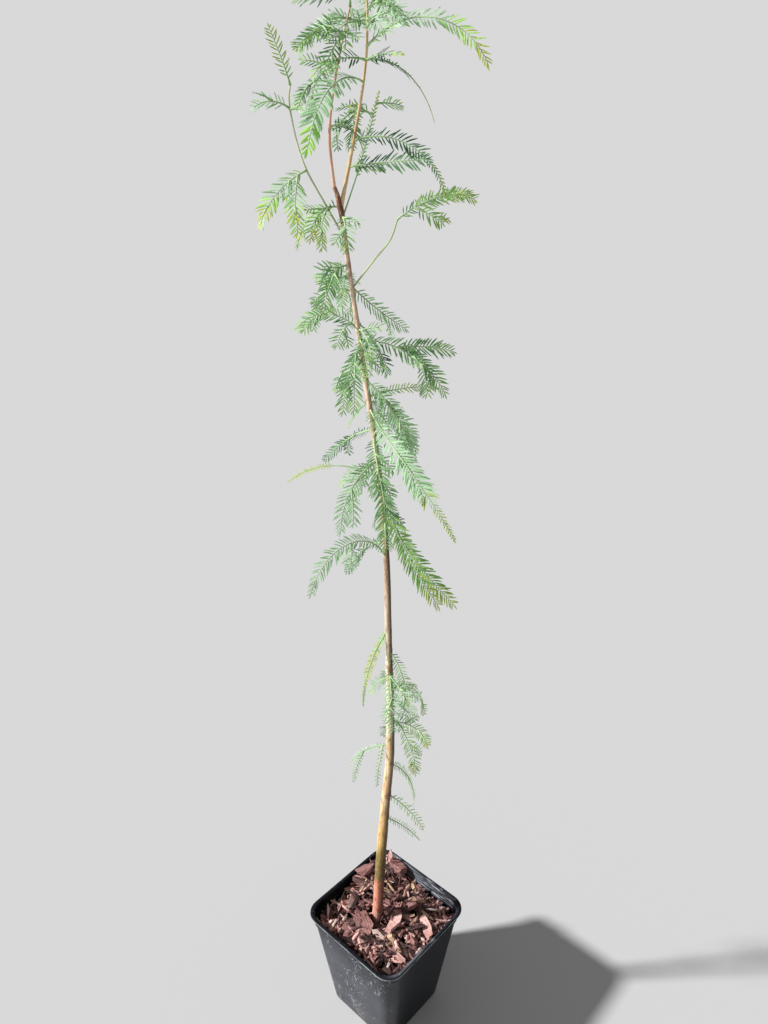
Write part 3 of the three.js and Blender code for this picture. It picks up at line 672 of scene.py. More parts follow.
def lay_chip(heap, shape, size, tilt, spot, seed):
    """Adds one copy of a chip of a size, tilted and turned in degrees, at a spot on the heap."""
    points, faces = shape
    sized = points * np.array(size)
    lean = Euler([math.radians(angle) for angle in tilt])
    turned = sized @ np.array(lean.to_matrix()).T
    grain = sized[:, :2] / GRAIN["across"] + sized[:, 2:] / GRAIN["up"]
    own_place = np.array([chance(seed, 71), chance(seed, 72)]) * GRAIN["spread"]
    heap.add(pushed_inside(turned + np.array(spot)), faces, grain + own_place)


# %% Chips of the solids
LARGE = {"length": (13, 27), "width": (5, 10), "thickness": (2.2, 4)}
LARGE_CHIPS = 20
SPIRAL = {"turn": 137.5, "start": 1.5, "reach": 0.98, "lift": 3, "tips": ((-28, 28), (-24, 24))}
heaps = defaultdict(Heap)
KINDS = [
    "red_brown", "dark", "pink", "dark", "red_brown", "pink", "red_brown", "dark", "pale",
    "red_brown", "dark", "pink", "tan", "red_brown", "dark",
]


def chip_kind(seed):
    return KINDS[int(chance(seed, 77) * len(KINDS))]


def large_chip(k):
    """One of the solids' own chips, on a spiral from the stem outwards."""
    share = math.sqrt((k + SPIRAL["start"]) / (LARGE_CHIPS + SPIRAL["start"]))
    spiral = math.radians(SPIRAL["turn"] * k)
    reach = share * inner_width(MULCH["edge"]) / 2 * SPIRAL["reach"]
    size = [between(ends, k, 11 + i) for i, ends in enumerate(LARGE.values())]
    tilt = [between(tip, k, 14 + i) for i, tip in enumerate(SPIRAL["tips"])] + [360 * chance(k, 16)]
    level = mulch_level(share, math.degrees(spiral)) + SPIRAL["lift"] * chance(k, 17)
    spot = (reach * math.cos(spiral), reach * math.sin(spiral), level)
    lay_chip(heaps[chip_kind(k)], BLOCK_SHAPES[k % 7], size, tilt, spot, k)


for k in range(LARGE_CHIPS):
    large_chip(k)
print(LARGE_CHIPS, "large chips lie on the spiral")

# %% Chips laid one by one
LAID_CHIPS = [
    ("dark", (-56, 1, 103), (21, 15, 5), (62, 8, -82)),
    ("pink", (8, -11, 108.5), (27, 13, 3.5), (-22, 10, 67)),
    ("pink", (38, -12, 104.5), (27, 10, 3.5), (20, -8, -70)),
    ("red_brown", (-21, -12, 108.5), (26, 15, 3), (16, 6, -60)),
    ("pink", (-23, -25, 105.5), (21, 10, 3), (-14, 4, -65)),
    ("red_brown", (10, 49, 113), (22, 17, 6.5), (48, 12, -50)),
    ("pale", (-8, -22, 108), (15, 4.5, 3), (0, 4, -34)),
    ("pink", (9, -40, 103.5), (23, 6, 3), (8, -5, -37)),
    ("tan", (40, 2, 102), (17, 4, 2.6), (0, 6, -37)),
    ("pale", (-33, 18, 105), (22, 6.5, 3), (28, 8, 78)),
    ("red_brown", (-23, 45, 117), (22, 13, 5), (-26, 8, 40)),
]
STRIP = {"spot": (5, 57, 112), "size": (34, 5, 3), "tilt": (0, -90, 90)}

for k, (kind, spot, size, tilt) in enumerate(LAID_CHIPS):
    lay_chip(heaps[kind], BLOCK_SHAPES[(k + 3) % 7], size, tilt, spot, 60 + k)
lay_chip(heaps["pink"], CHIP_SHAPES[2], STRIP["size"], STRIP["tilt"], STRIP["spot"], 5)
print(len(LAID_CHIPS), "chips and one strip are laid by hand")

# %% Loose chips, slivers and crumbs
TRUNK_SPOT = (-9, 0)
STEM_ROOM = 6.5
Loose = namedtuple("Loose", "count shapes length width thickness tip lift")
LOOSE = {
    "chip": Loose(170, CHIP_SHAPES, (8, 19), (4, 9.5), (1.6, 3.4), 40, (-2, 3)),
    "sliver": Loose(520, SLIVER_SHAPES, (8, 22), (1.2, 2.8), (0.8, 1.7), 34, (-0.5, 4)),
    "crumb": Loose(380, SLIVER_SHAPES, (1.8, 5), (1.2, 3), (0.8, 2), 70, (-1.5, 2)),
}


def loose_chip(kind, k):
    """One small chip, sliver or crumb at a seeded spot."""
    rule = LOOSE[kind]
    seed = k + 1000 * (1 + list(LOOSE).index(kind))
    half = inner_width(MULCH["edge"]) / 2
    own = np.array([2 * chance(seed, 3) - 1, 2 * chance(seed, 4) - 1]) * half
    x, y = own @ TO_POT
    if math.hypot(x - TRUNK_SPOT[0], y - TRUNK_SPOT[1]) < STEM_ROOM:
        return
    size = (between(rule.length, seed, 5), between(rule.width, seed, 6), between(rule.thickness, seed, 7))
    tilt = [rule.tip * (2 * chance(seed, column) - 1) for column in (8, 9)] + [360 * chance(seed, 10)]
    spot = (x, y, mulch_level_at(x, y) + between(rule.lift, seed, 12))
    lay_chip(heaps[chip_kind(seed)], rule.shapes[seed % 7], size, tilt, spot, seed)


for kind, rule in LOOSE.items():
    for k in range(rule.count):
        loose_chip(kind, k)
print("points of chips:", {name: heap.count for name, heap in heaps.items()})

# %% [markdown]
# ## Bark chip finishes
#
# All chips share one recipe: fine grain that runs along the chip, a tone of its own for each chip, and
# a dry matt surface. The grain has to follow each chip however it lies, so it reads the chip's own
# flat map and not its place in the pot. Pairs of colours, from cream to near-black, tell the kinds.

# %% Chip finish and the bed's finish
def chip_finish(name, dark, light):
    finish = Finish(name)
    grain_map = finish.node("ShaderNodeUVMap", {"uv_map": "grain"})
    along = finish.node("ShaderNodeMapping", inputs={"Vector": grain_map, "Scale": (0.6, 2.6, 1)})
    grain = finish.noise(along, 3.2, 4)
    own = finish.noise(grain_map, 0.22, 1)
    tone = finish.mix(finish.step(grain * 0.65 + own * 0.35, 0.38, 0.62), paint(*dark), paint(*light))
    cracks = finish.step(grain, 0.57, 0.66)
    return finish.close(
        Base_Color=finish.layered(tone, (cracks * 0.6, (40, 24, 22))),
        Roughness=0.94 - grain * 0.12,
        Normal=finish.bump(grain - cracks * 0.5, 0.7, 0.5 * MM),
        Specular_IOR_Level=0.2,
    )


def bed_finish():
    finish = Finish("mulch_bed")
    here = finish.place()
    tone = finish.mix(finish.noise(here, 300, 4), paint(16, 10, 9), paint(58, 38, 32))
    return finish.close(
        Base_Color=tone, Roughness=0.95, Normal=finish.bump(finish.noise(here, 700, 3), 0.8, 1 * MM)
    )


CHIP_COLOURS = {
    "red_brown": ((92, 60, 58), (194, 144, 138)), "dark": ((44, 32, 32), (122, 94, 92)),
    "pink": ((172, 120, 114), (246, 204, 194)), "tan": ((170, 136, 112), (228, 194, 164)),
    "pale": ((206, 174, 162), (250, 232, 222)),
}
dress(bed, bed_finish(), "bark_mulch", "mulch")
for kind, heap in heaps.items():
    finish = chip_finish(f"chips_{kind}", *CHIP_COLOURS[kind])
    dress(heap.piece(f"chips_{kind}"), finish, "bark_mulch", "mulch")

# %% [markdown]
# ## Limbs
#
# The stem, its two leaders and two thin branches are tapering limbs that lean and bend. Each is
# written as a few bends with a radius, and a smooth line runs through them. A curve with a round
# section and a radius at every point follows that line. Made a mesh, its skin can be pushed in and
# out into bark.

# %% Bends of the limbs
LIMBS = {
    "trunk": (30, [
        (-9, 0, 94, 4.9), (-5, 1, 177, 4.75), (-1, 2, 240, 4.15), (3, 3, 294, 3.8), (3.4, 2, 349, 3.4),
        (1.8, -1, 409, 2.9), (0, -2, 489, 2.45), (-5, 0, 555, 2.2), (-15, 2, 630, 1.9),
        (-25, 2, 702, 1.6), (-30, 1, 742, 1.7), (-34, 0, 756, 1.4),
    ]),
    "leader_left": (12, [
        (-34, 0, 756, 1.2), (-36, -3, 788, 0.85), (-30, -5, 824, 0.7), (-22, -3, 854, 0.5),
    ]),
    "leader_right": (14, [
        (-30, 1, 744, 1.4), (-21, 4, 784, 1), (-14, 6, 821, 0.85), (-12, 6, 849, 0.7), (-13, 4, 878, 0.5),
    ]),
    "branch_left": (10, [
        (-28, 1.5, 725, 0.8), (-37, 3, 740, 0.7), (-54, 5, 771, 0.65), (-61, 5, 802, 0.55),
        (-60, 4, 814, 0.5),
    ]),
    "branch_right": (8, [(-24, 2, 692, 0.7), (-10, 7, 709, 0.6), (2, 12, 723, 0.55), (7, 14, 736, 0.5)]),
}


def smooth_rows(bends, steps):
    """A smooth line through bends, as rows of x, y, z and radius."""
    last = len(bends) - 1
    rows = []
    for step in range(steps + 1):
        place = step / steps * last
        i = min(int(place), last - 1)
        t = place - i
        a, b, c, d = (np.array(bends[min(max(i + k, 0), last)], dtype=float) for k in (-1, 0, 1, 2))
        curve = 2 * b + (c - a) * t + (2 * a - 5 * b + 4 * c - d) * t * t
        rows.append(0.5 * (curve + (3 * b - a - 3 * c + d) * t ** 3))
    return np.array(rows)


LIMB_ROWS = {name: smooth_rows(bends, steps) for name, (steps, bends) in LIMBS.items()}
print("limbs:", {name: len(rows) for name, rows in LIMB_ROWS.items()})

# %% [markdown]
# ## Sprays of needles
#
# The soft green sprays hang from the limbs in drooping arcs. Every spray is one row: the name of its
# looks, the height it leaves its limb at, its heading and rise in degrees, its length, how far its
# rise falls towards the tip, and the length of its needles. Some have more stems, or small side twigs
# that a seeded rule adds. This is the same rule that grew the solids, so each spray keeps to its
# solid's place. The last number, fine, spaces the finer twigs that only the scene has.

# %% Rows of sprays
def spray(looks, at, heading, rise, length, droop, needle, *more, twigs=0, swing=0, fine=0):
    """One spray; each of more is the share it forks off at, heading, rise, length, droop and needle."""
    return {
        "looks": looks, "at": at, "heading": heading, "rise": rise, "length": length, "droop": droop,
        "needle": needle, "more": more, "twigs": twigs, "swing": swing, "fine": fine,
    }


TRUNK_SPRAYS = {
    "low_spray": [
        spray("golden", 428, 196, -57, 75, 32, 6),
        spray("grassy", 408, 320, -40, 52, 55, 6),
        spray("silver", 388, 275, -20, 52, 65, 8, (0.12, 312, -15, 42, 70), fine=15),
        spray("grassy", 368, 35, 0, 58, 95, 6, fine=15),
        spray("grassy", 333, 352, 12, 44, 92, 7, (0.14, 320, -45, 50, 40), fine=15),
        spray("silver", 308, 165, -10, 48, 55, 5, (0.5, 205, -62, 32, 20), (0.1, 252, -40, 36, 45)),
        spray("grassy", 288, 38, -38, 74, 55, 6),
        spray("grassy", 255, 337, -18, 46, 40, 6),
        spray("grassy", 228, 25, -40, 58, 20, 5),
        spray("plain", 376, 95, 5, 54, 85, 7, (0.1, 155, -34, 28, 30)),
        spray("shaded", 320, 100, -5, 50, 70, 6),
    ],
    "middle_spray": [
        spray("silver", 630, 328, -30, 66, 45, 9, (0.1, 2, -48, 62, 28), twigs=2, fine=15),
        spray("sunny", 609, 280, -8, 126, 50, 10, (0.4, 350, -45, 42, 35), swing=55),
        spray("plain", 588, 268, -10, 84, 100, 10, swing=48, fine=15),
        spray("grassy", 550, 325, -70, 100, -24, 10, (0.3, 350, -62, 76, -18)),
        spray("silver", 570, 228, -8, 64, 80, 9, twigs=1),
        spray("young", 557, 165, 26, 78, 68, 6),
        spray("shaded", 594, 135, -20, 54, 20, 7, twigs=2),
        spray("silver", 490, 224, 70, 98, 142, 8, (0.45, 262, -40, 18, 45)),
        spray("young", 618, 25, 12, 56, 22, 5),
        spray("plain", 610, 85, 8, 82, 78, 9, twigs=2),
        spray("plain", 566, 105, -8, 86, 55, 9, twigs=2),
        spray("shaded", 536, 80, -12, 76, 55, 9, twigs=2),
        spray("shaded", 504, 120, -15, 66, 50, 8, twigs=1),
    ],
    "upper_spray": [
        spray("plain", 658, 345, 4, 74, 66, 9, (0.4, 18, 2, 42, 18), (0, 282, 0, 34, 60), twigs=2, fine=15),
        spray("silver", 694, 12, -44, 48, -12, 8, twigs=1),
        spray("plain", 708, 210, -5, 23, 50, 9, (0.2, 245, -25, 34, 50), (0.2, 178, 15, 16, 75), fine=15),
        spray("plain", 665, 165, 48, 51, 98, 8, (0.1, 250, 5, 30, 55), (0, 290, 12, 34, 75),
            twigs=1, fine=15),
        spray("plain", 655, 238, -42, 50, 40, 8, (0.2, 268, -12, 48, 70), (0.1, 135, -40, 36, 26),
            fine=15),
        spray("plain", 699, 100, 12, 62, 75, 9, twigs=2, fine=15),
        spray("shaded", 670, 60, -26, 56, 42, 9, twigs=2),
    ],
    "fork_spray": [
        spray("grassy", 737, 20, 67, 78, -8, 3, (0.45, 345, 10, 16, 20, 6), (0.4, 120, 20, 14, 30, 6),
            (0.9, 30, 10, 18, 20, 7), (0.85, 170, 25, 15, 20, 7)),
        spray("grassy", 744, 160, 8, 42, 88, 7, (0.2, 225, -10, 28, 75), (0.1, 258, 0, 34, 75), fine=15),
        spray("lush", 738, 280, 5, 32, 90, 8, fine=9),
    ],
}
print(sum(len(rows) for rows in TRUNK_SPRAYS.values()), "sprays on the trunk")

# %% Sprays of the branches and leaders
CROWN_SPRAYS = {
    "branch_right_spray": [
        spray("grassy", 736, 10, 38, 53, 40, 8, (0.3, 340, -15, 22, 20), twigs=4, fine=15),
    ],
    "branch_left_spray": [
        spray("glowing", 766, 205, -22, 42, 38, 9, (0.1, 262, -48, 30, 30), fine=15),
        spray("silver", 801, 185, 40, 24, 75, 7, (0, 330, 8, 22, 60, 4), fine=15),
        spray("young", 814, 162, 72, 34, 8, 6),
    ],
    "leader_left_spray": [
        spray("shaded", 790, 40, 30, 32, 105, 7),
        spray("topmost", 840, 208, 22, 23, 60, 8, (0.2, 244, 5, 32, 50), (0.1, 275, 10, 28, 60),
            (0.1, 230, -35, 28, 30), twigs=2, fine=9),
        spray("topmost", 822, 120, 15, 48, 75, 8, twigs=1, fine=9),
    ],
    "leader_left_top": [
        spray("topmost", 854, 100, 76, 44, -6, 7, (0.1, 172, 4, 34, 12), (0.25, 290, 30, 26, 50),
            twigs=3, fine=9),
    ],
    "leader_right_spray": [
        spray("shaded", 768, 344, 7, 52, 6, 9),
        spray("tipped", 783, 346, 18, 76, 92, 8),
        spray("bright", 816, 245, 10, 90, 80, 10),
        spray("glowing", 835, 340, 44, 89, 106, 8),
        spray("tipped", 828, 42, 12, 74, 78, 6.5, (0, 315, 12, 32, 25, 8), (0, 218, 8, 26, 30, 8)),
        spray("silver", 846, 228, 15, 27, 55, 8, (0.15, 155, 25, 32, 50), (0.15, 305, 10, 30, 60), fine=9),
        spray("shaded", 802, 98, 18, 60, 80, 8, twigs=1, fine=9),
        spray("topmost", 864, 75, 28, 48, 75, 8, twigs=1, fine=9),
        spray("silver", 854, 355, 42, 44, 55, 8, (0.1, 318, 5, 24, 60), twigs=1, fine=9),
    ],
    "leader_right_top": [
        spray("topmost", 878, 250, 82, 58, 8, 7, (0.1, 300, 35, 42, 60), (0.1, 190, 40, 40, 55),
            twigs=5, fine=9),
    ],
}
SPRAYS = {}
for family, rows in {**TRUNK_SPRAYS, **CROWN_SPRAYS}.items():
    limb = "trunk" if family in TRUNK_SPRAYS else family.rsplit("_", 1)[0]
    for k, row in enumerate(rows, 1):
        SPRAYS[f"{family}_{k}" if len(rows) > 1 else family] = dict(row, on=limb)
print(len(SPRAYS), "sprays")

# %% [markdown]
# ## How a stem runs
#
# A spray's stem starts inside its limb and is walked in short steps. At every step its rise falls a
# little, which makes the arc. Its flat side turns towards the light that came from the front, as
# real sprays turn. The stations of that walk carry the stem's skin and its needles.

# %% Walk along a stem
PITCH = 6.7
LIGHT_TURN = 60

Station = namedtuple("Station", "point along side face share")


def towards(heading, slope):
    """The direction of a stem with a heading and a slope, in degrees."""
    turn, climb = math.radians(heading), math.radians(slope)
    return Vector((math.cos(climb) * math.cos(turn), math.cos(climb) * math.sin(turn), math.sin(climb)))


def walk(stem, pitch=PITCH):
    """The stations along a stem, from its root to its tip."""
    steps = max(3, int(stem["length"] / pitch + 0.5))
    point = stem["start"].copy()
    line = []
    for i in range(steps + 1):
        share = i / steps
        heading = stem["heading"] + stem["swing"] * share
        turn = math.radians(heading)
        along = towards(heading, stem["rise"] - stem["droop"] * share)
        level = Vector((math.sin(turn), -math.cos(turn), 0))
        roll = -math.radians(LIGHT_TURN) * math.cos(turn)
        side = level * math.cos(roll) + level.cross(along) * math.sin(roll)
        line.append(Station(point.copy(), along, side, side.cross(along), share))
        middle = (i + 0.5) / steps
        step = towards(stem["heading"] + stem["swing"] * middle, stem["rise"] - stem["droop"] * middle)
        point += step * (stem["length"] / steps)
    return line


def point_on(limb, z):
    """The point on a limb's middle line at a height."""
    rows = LIMB_ROWS[limb]
    i = min(max(int(np.searchsorted(rows[:, 2], z)), 1), len(rows) - 1)
    low, high = rows[i - 1], rows[i]
    t = min(max((z - low[2]) / (high[2] - low[2]), 0), 1)
    return Vector(low[:3] + (high[:3] - low[:3]) * t)


# %% Stems of one spray
TWIG = {
    "first": 0.22, "span": 0.6, "spread": 48, "spread_luck": 14, "reach": 0.42, "length": 14,
    "climb": 16, "droop": 10, "needle": 0.85,
}


def start_on(line, leave):
    """The station's point at a share of the way along a stem."""
    return line[int(leave * (len(line) - 1) + 0.5)].point


def side_twig(stem, line, leave, turn, climb, droop, length, needle):
    """A twig that leaves a stem at a share of its way, turned and raised from it by degrees."""
    return {
        "start": start_on(line, leave),
        "heading": stem["heading"] + stem["swing"] * leave + turn,
        "rise": stem["rise"] - stem["droop"] * leave + climb,
        "droop": droop, "swing": 0, "length": length, "needle": needle,
    }


def side_of(k):
    """Left and right by turns."""
    return -1 if k % 2 else 1


def stems_of(row, number):
    """The first stem of a spray, those that fork from it, and its seeded side twigs."""
    first = dict(row, start=point_on(row["on"], row["at"]))
    line = walk(first)
    stems = [first]
    for leave, heading, rise, length, droop, *needle in row["more"]:
        stems.append({
            "start": start_on(line, leave), "heading": heading, "rise": rise, "droop": droop,
            "swing": 0, "length": length, "needle": needle[0] if needle else row["needle"],
        })
    for k in range(row["twigs"]):
        leave = TWIG["first"] + TWIG["span"] * (k + 0.5) / row["twigs"]
        turn = side_of(k) * (TWIG["spread"] + TWIG["spread_luck"] * (chance(number, 20 + k) - 0.5))
        reach = TWIG["reach"] * row["length"] * (1 - leave) * (0.8 + 0.4 * chance(number, 30 + k))
        climb = TWIG["climb"] * (chance(number, 40 + k) - 0.3)
        droop = 0.5 * abs(row["droop"]) + TWIG["droop"]
        length, needle = TWIG["length"] + reach, row["needle"] * TWIG["needle"]
        stems.append(side_twig(first, line, leave, turn, climb, droop, length, needle))
    return stems


# %% [markdown]
# ## Finer twigs
#
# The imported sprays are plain, with few twigs. On the real plant the sprays near the tips are bushy:
# every centimetre or so a short twig leaves the stem. The same rule is carried one step further here,
# with shorter twigs and shorter needles, so the crown gets denser without getting larger.

# %% Fine twigs
FINE = {
    "covers": 0.75, "first": 0.12, "span": 0.72, "spread": (32, 60), "climb": 50, "droop": 25,
    "length": (10, 20), "least": 6, "needle": 0.74,
}


def fine_twigs(stem, spacing, seed):
    """Short twigs along one stem, left and right by turns, that end before the stem does."""
    line = walk(stem)
    count = int(FINE["covers"] * stem["length"] / spacing)
    twigs = []
    for k in range(count):
        leave = FINE["first"] + FINE["span"] * (k + chance(seed, 90 + k)) / count
        turn = side_of(k) * between(FINE["spread"], seed, 50 + k)
        climb = FINE["climb"] * (chance(seed, 70 + k) - 0.35)
        room = FINE["least"] + (1 - leave) * stem["length"]
        length = min(between(FINE["length"], seed, 60 + k), room)
        needle = stem["needle"] * FINE["needle"]
        twigs.append(side_twig(stem, line, leave, turn, climb, FINE["droop"], length, needle))
    return twigs


print(sum(row["fine"] > 0 for row in SPRAYS.values()), "sprays get fine twigs")


# %% [markdown]
# ## Keep stems and needles apart
#
# A side twig that would run through another spray is left out, as in the solids, and so is a needle
# that would stab a limb. Both need the shortest distance between two straight stretches. Written
# for whole arrays at once, one call measures a stretch against all that already stand.

# %% Distances between stretches
def gaps(a, b, starts, ends):
    """Shortest distances from the stretch a-b to many others."""
    u, v, w = b - a, ends - starts, a - starts
    uu, uv, vv = u @ u, v @ u, (v * v).sum(axis=1)
    uw, vw = w @ u, (v * w).sum(axis=1)
    flat = uu * vv - uv * uv
    s = np.where(flat > 1e-9, np.clip((uv * vw - vv * uw) / np.maximum(flat, 1e-9), 0, 1), 0)
    t = np.clip((uv * s + vw) / vv, 0, 1)
    s = np.clip((uv * t - uw) / uu, 0, 1)
    return np.linalg.norm(w + s[:, None] * u - t[:, None] * v, axis=1)


class Standing:
    """Straight stretches that already stand, each with a radius and an owner."""

    def __init__(self):
        self.rows = []

    def add(self, owner, points, radii):
        for a, b, radius in zip(points, points[1:], radii):
            self.rows.append((owner, *a, *b, radius))

    def line_up(self):
        """Puts all rows into arrays, so that one sum measures them all."""
        self.owners = np.array([row[0] for row in self.rows])
        sizes = np.array([row[1:] for row in self.rows], dtype=float)
        self.starts, self.ends, self.radii = sizes[:, :3], sizes[:, 3:6], sizes[:, 6]

    def is_clear(self, owner, a, b, need):
        """Whether a stretch keeps a distance from all that stands and isn't its own."""
        a, b = np.array(a, dtype=float), np.array(b, dtype=float)
        room = gaps(a, b, self.starts, self.ends) - self.radii
        return bool(np.all((room > need) | (self.owners == owner)))


# %% Grow the stems
STEM_RADIUS = 0.75
CLEARANCE = 0.6
limbs_only = Standing()
standing = Standing()
for name, rows in LIMB_ROWS.items():
    for crowd in (limbs_only, standing):
        crowd.add(name, rows[:, :3].tolist(), rows[1:, 3])
limbs_only.line_up()

stems = {name: stems_of(row, number) for number, (name, row) in enumerate(SPRAYS.items())}


def stand(owner, stem):
    points = [station.point[:] for station in walk(stem)]
    standing.add(owner, points, [STEM_RADIUS] * len(points))


def is_free(owner, stem):
    line = walk(stem)
    pairs = zip(line, line[1:])
    return all(standing.is_clear(owner, a.point, b.point, STEM_RADIUS + CLEARANCE) for a, b in pairs)


for name, row in SPRAYS.items():
    for stem in stems[name][:1 + len(row["more"])]:
        stand(name, stem)


def keep_free_twigs(name, kept, twigs):
    """Adds to the kept stems of a spray each twig that is free of all that stands."""
    for twig in twigs:
        standing.line_up()
        if is_free(name, twig):
            stand(name, twig)
            kept.append(twig)


for name, row in SPRAYS.items():
    sure = 1 + len(row["more"])
    kept = stems[name][:sure]
    keep_free_twigs(name, kept, stems[name][sure:])
    stems[name] = kept
print(sum(len(kept) for kept in stems.values()), "stems of sprays stand")
for number, (name, kept) in enumerate(stems.items()):
    spacing = SPRAYS[name]["fine"]
    if spacing:
        for k, stem in enumerate(list(kept)):
            keep_free_twigs(name, kept, fine_twigs(stem, spacing, 100 * number + k))
print(sum(len(kept) for kept in stems.values()), "with their fine twigs")

# %% [markdown]
# ## Bark
#
# A seedling's bark is still smooth, with shallow ridges along the stem, a small collar round every
# twig and a knot where the stem forks. Sculpting that by hand on a stem under 10 mm thick would be
# lost work, so the tube's points are moved along their own rays by noise that is stretched upwards,
# and by a bump at each place where a spray leaves.

# %% Tube along a limb
def tube(name, rows, sides):
    """A closed round tube along rows of x, y, z and radius."""
    curve = bpy.data.curves.new(name, "CURVE")
    curve.dimensions = "3D"
    curve.bevel_depth = MM
    curve.bevel_resolution = sides // 2 - 2
    curve.use_fill_caps = True
    line = curve.splines.new("POLY")
    line.points.add(len(rows) - 1)
    for point, (x, y, z, radius) in zip(line.points, rows):
        point.co = (x * MM, y * MM, z * MM, 1)
        point.radius = radius
    made = bpy.data.objects.new(name, curve)
    bpy.context.scene.collection.objects.link(made)
    only(made)
    bpy.ops.object.convert(target="MESH")
    return bpy.context.object


# %% Collars and the side with painted shade
RIDGES = {"scale": (0.9, 0.9, 0.05), "lift": 0.07}
FLAKES = {"scale": (1.6, 1.6, 0.4), "lift": 0.5}
CAP_MIDDLE = 0.3
COLLAR = {"lift": 0.42, "height": 2.4, "behind": 0.06, "limbs": [(725, 170), (692, 25)]}
FORK_KNOT = {"level": 744, "lift": 0.22, "height": 4.5}
# The side that faces away from the sun gets painted shade in dark brown, darkest at this heading.
PAINTED_SHADE_SIDE = {"heading": -20, "soft": (0.42, 0.78)}


def bell(level, middle, height):
    """1 at a middle level, falling to 0 above and below it."""
    return math.exp(-((level - middle) / height) ** 2)


def facing(around, heading):
    """1 where the skin faces a heading, 0 at a right angle to it, and less beyond."""
    return math.cos(math.radians(around - heading))


def collar_places(limb):
    """Height and heading of every spray that leaves a limb, and of limbs that leave it."""
    places = [(row["at"], row["heading"]) for row in SPRAYS.values() if row["on"] == limb]
    return places + (COLLAR["limbs"] if limb == "trunk" else [])


def collar_at(collars, level, around):
    """From 0 to 1, how far a point of the skin belongs to a collar."""
    near = 0
    for height, heading in collars:
        front = max(0, facing(around, heading))
        share = COLLAR["behind"] + (1 - COLLAR["behind"]) * front ** 2
        near = max(near, bell(level, height, COLLAR["height"]) * share)
    return near


# %% Bark relief
def bark_relief(piece, limb, rows):
    """Moves a tube's points in and out into ridges, collars and the knot at the fork."""
    collars = collar_places(limb)
    marks = piece.data.attributes
    for label in ("collar", "brown"):
        marks.new(label, "FLOAT", "POINT")
    for spot in piece.data.vertices:
        here = np.array(spot.co) / MM
        row = rows[int(np.argmin(np.abs(rows[:, :3] - here).sum(axis=1)))]
        ray = here - row[:3]
        length = np.linalg.norm(ray)
        if length < CAP_MIDDLE * row[3]:
            continue
        around = math.degrees(math.atan2(ray[1], ray[0]))
        ridges = noise.noise(Vector(np.array([ray[0], ray[1], here[2]]) * RIDGES["scale"]))
        flakes = noise.noise(Vector(here * FLAKES["scale"]))
        near = collar_at(collars, here[2], around)
        rough = RIDGES["lift"] * (ridges + FLAKES["lift"] * flakes)
        lift = row[3] * rough + COLLAR["lift"] * near * min(1, row[3] / 2)
        if limb in ("trunk", "leader_right"):
            knot = bell(here[2], FORK_KNOT["level"], FORK_KNOT["height"])
            lift += FORK_KNOT["lift"] * knot
            near = max(near, knot)
        spot.co = (here + ray / length * lift) * MM
        marks["collar"].data[spot.index].value = near
        # the side away from the sun is marked for a painted shade of dark brown
        brown = np.interp(facing(around, PAINTED_SHADE_SIDE["heading"]), PAINTED_SHADE_SIDE["soft"], (0, 1))
        marks["brown"].data[spot.index].value = float(brown)


def limb_piece(name, bends, steps, sides):
    rows = smooth_rows(bends, steps)
    piece = tube(f"{name}_bark", rows, sides)
    bark_relief(piece, name, rows)
    only(piece)
    bpy.ops.object.shade_smooth()
    return piece


# %% [markdown]
# ## Bark finish
#
# The stem changes colour on the way up. Brick red at the soil, olive where the thin skin is still
# green inside, golden brown above, then a weathered tan with pale flakes, and a dark knot at the
# fork. A ramp over the height paints those zones, noise breaks their edges, and long streaks, red
# blotches, pale flakes and dots and small dark pores lie over them. The side away from the sun gets
# a painted shade of dark brown.

# %% Zones of colour up the stem
TREE_TOP = 900 * MM
# The darker stretch from 468 to 500 mm is a painted shadow of the sprays above it.
ZONES = [
    (94, (255, 214, 200)), (106, (255, 200, 180)), (116, (250, 166, 142)), (149, (242, 156, 124)),
    (156, (134, 114, 66)), (178, (146, 132, 72)), (190, (184, 156, 90)), (204, (242, 198, 126)),
    (228, (232, 188, 128)), (246, (244, 216, 170)), (264, (248, 202, 150)), (284, (255, 228, 182)),
    (306, (226, 192, 144)), (330, (248, 238, 196)), (400, (252, 236, 198)), (430, (236, 214, 182)),
    (468, (200, 170, 144)), (500, (190, 162, 134)), (560, (228, 202, 170)), (640, (255, 216, 190)),
    (705, (255, 228, 202)), (728, (240, 186, 158)), (742, (142, 90, 72)), (750, (164, 110, 88)),
    (762, (232, 184, 158)),
]
print(len(ZONES), "zones from", ZONES[0][0], "to", ZONES[-1][0], "mm")

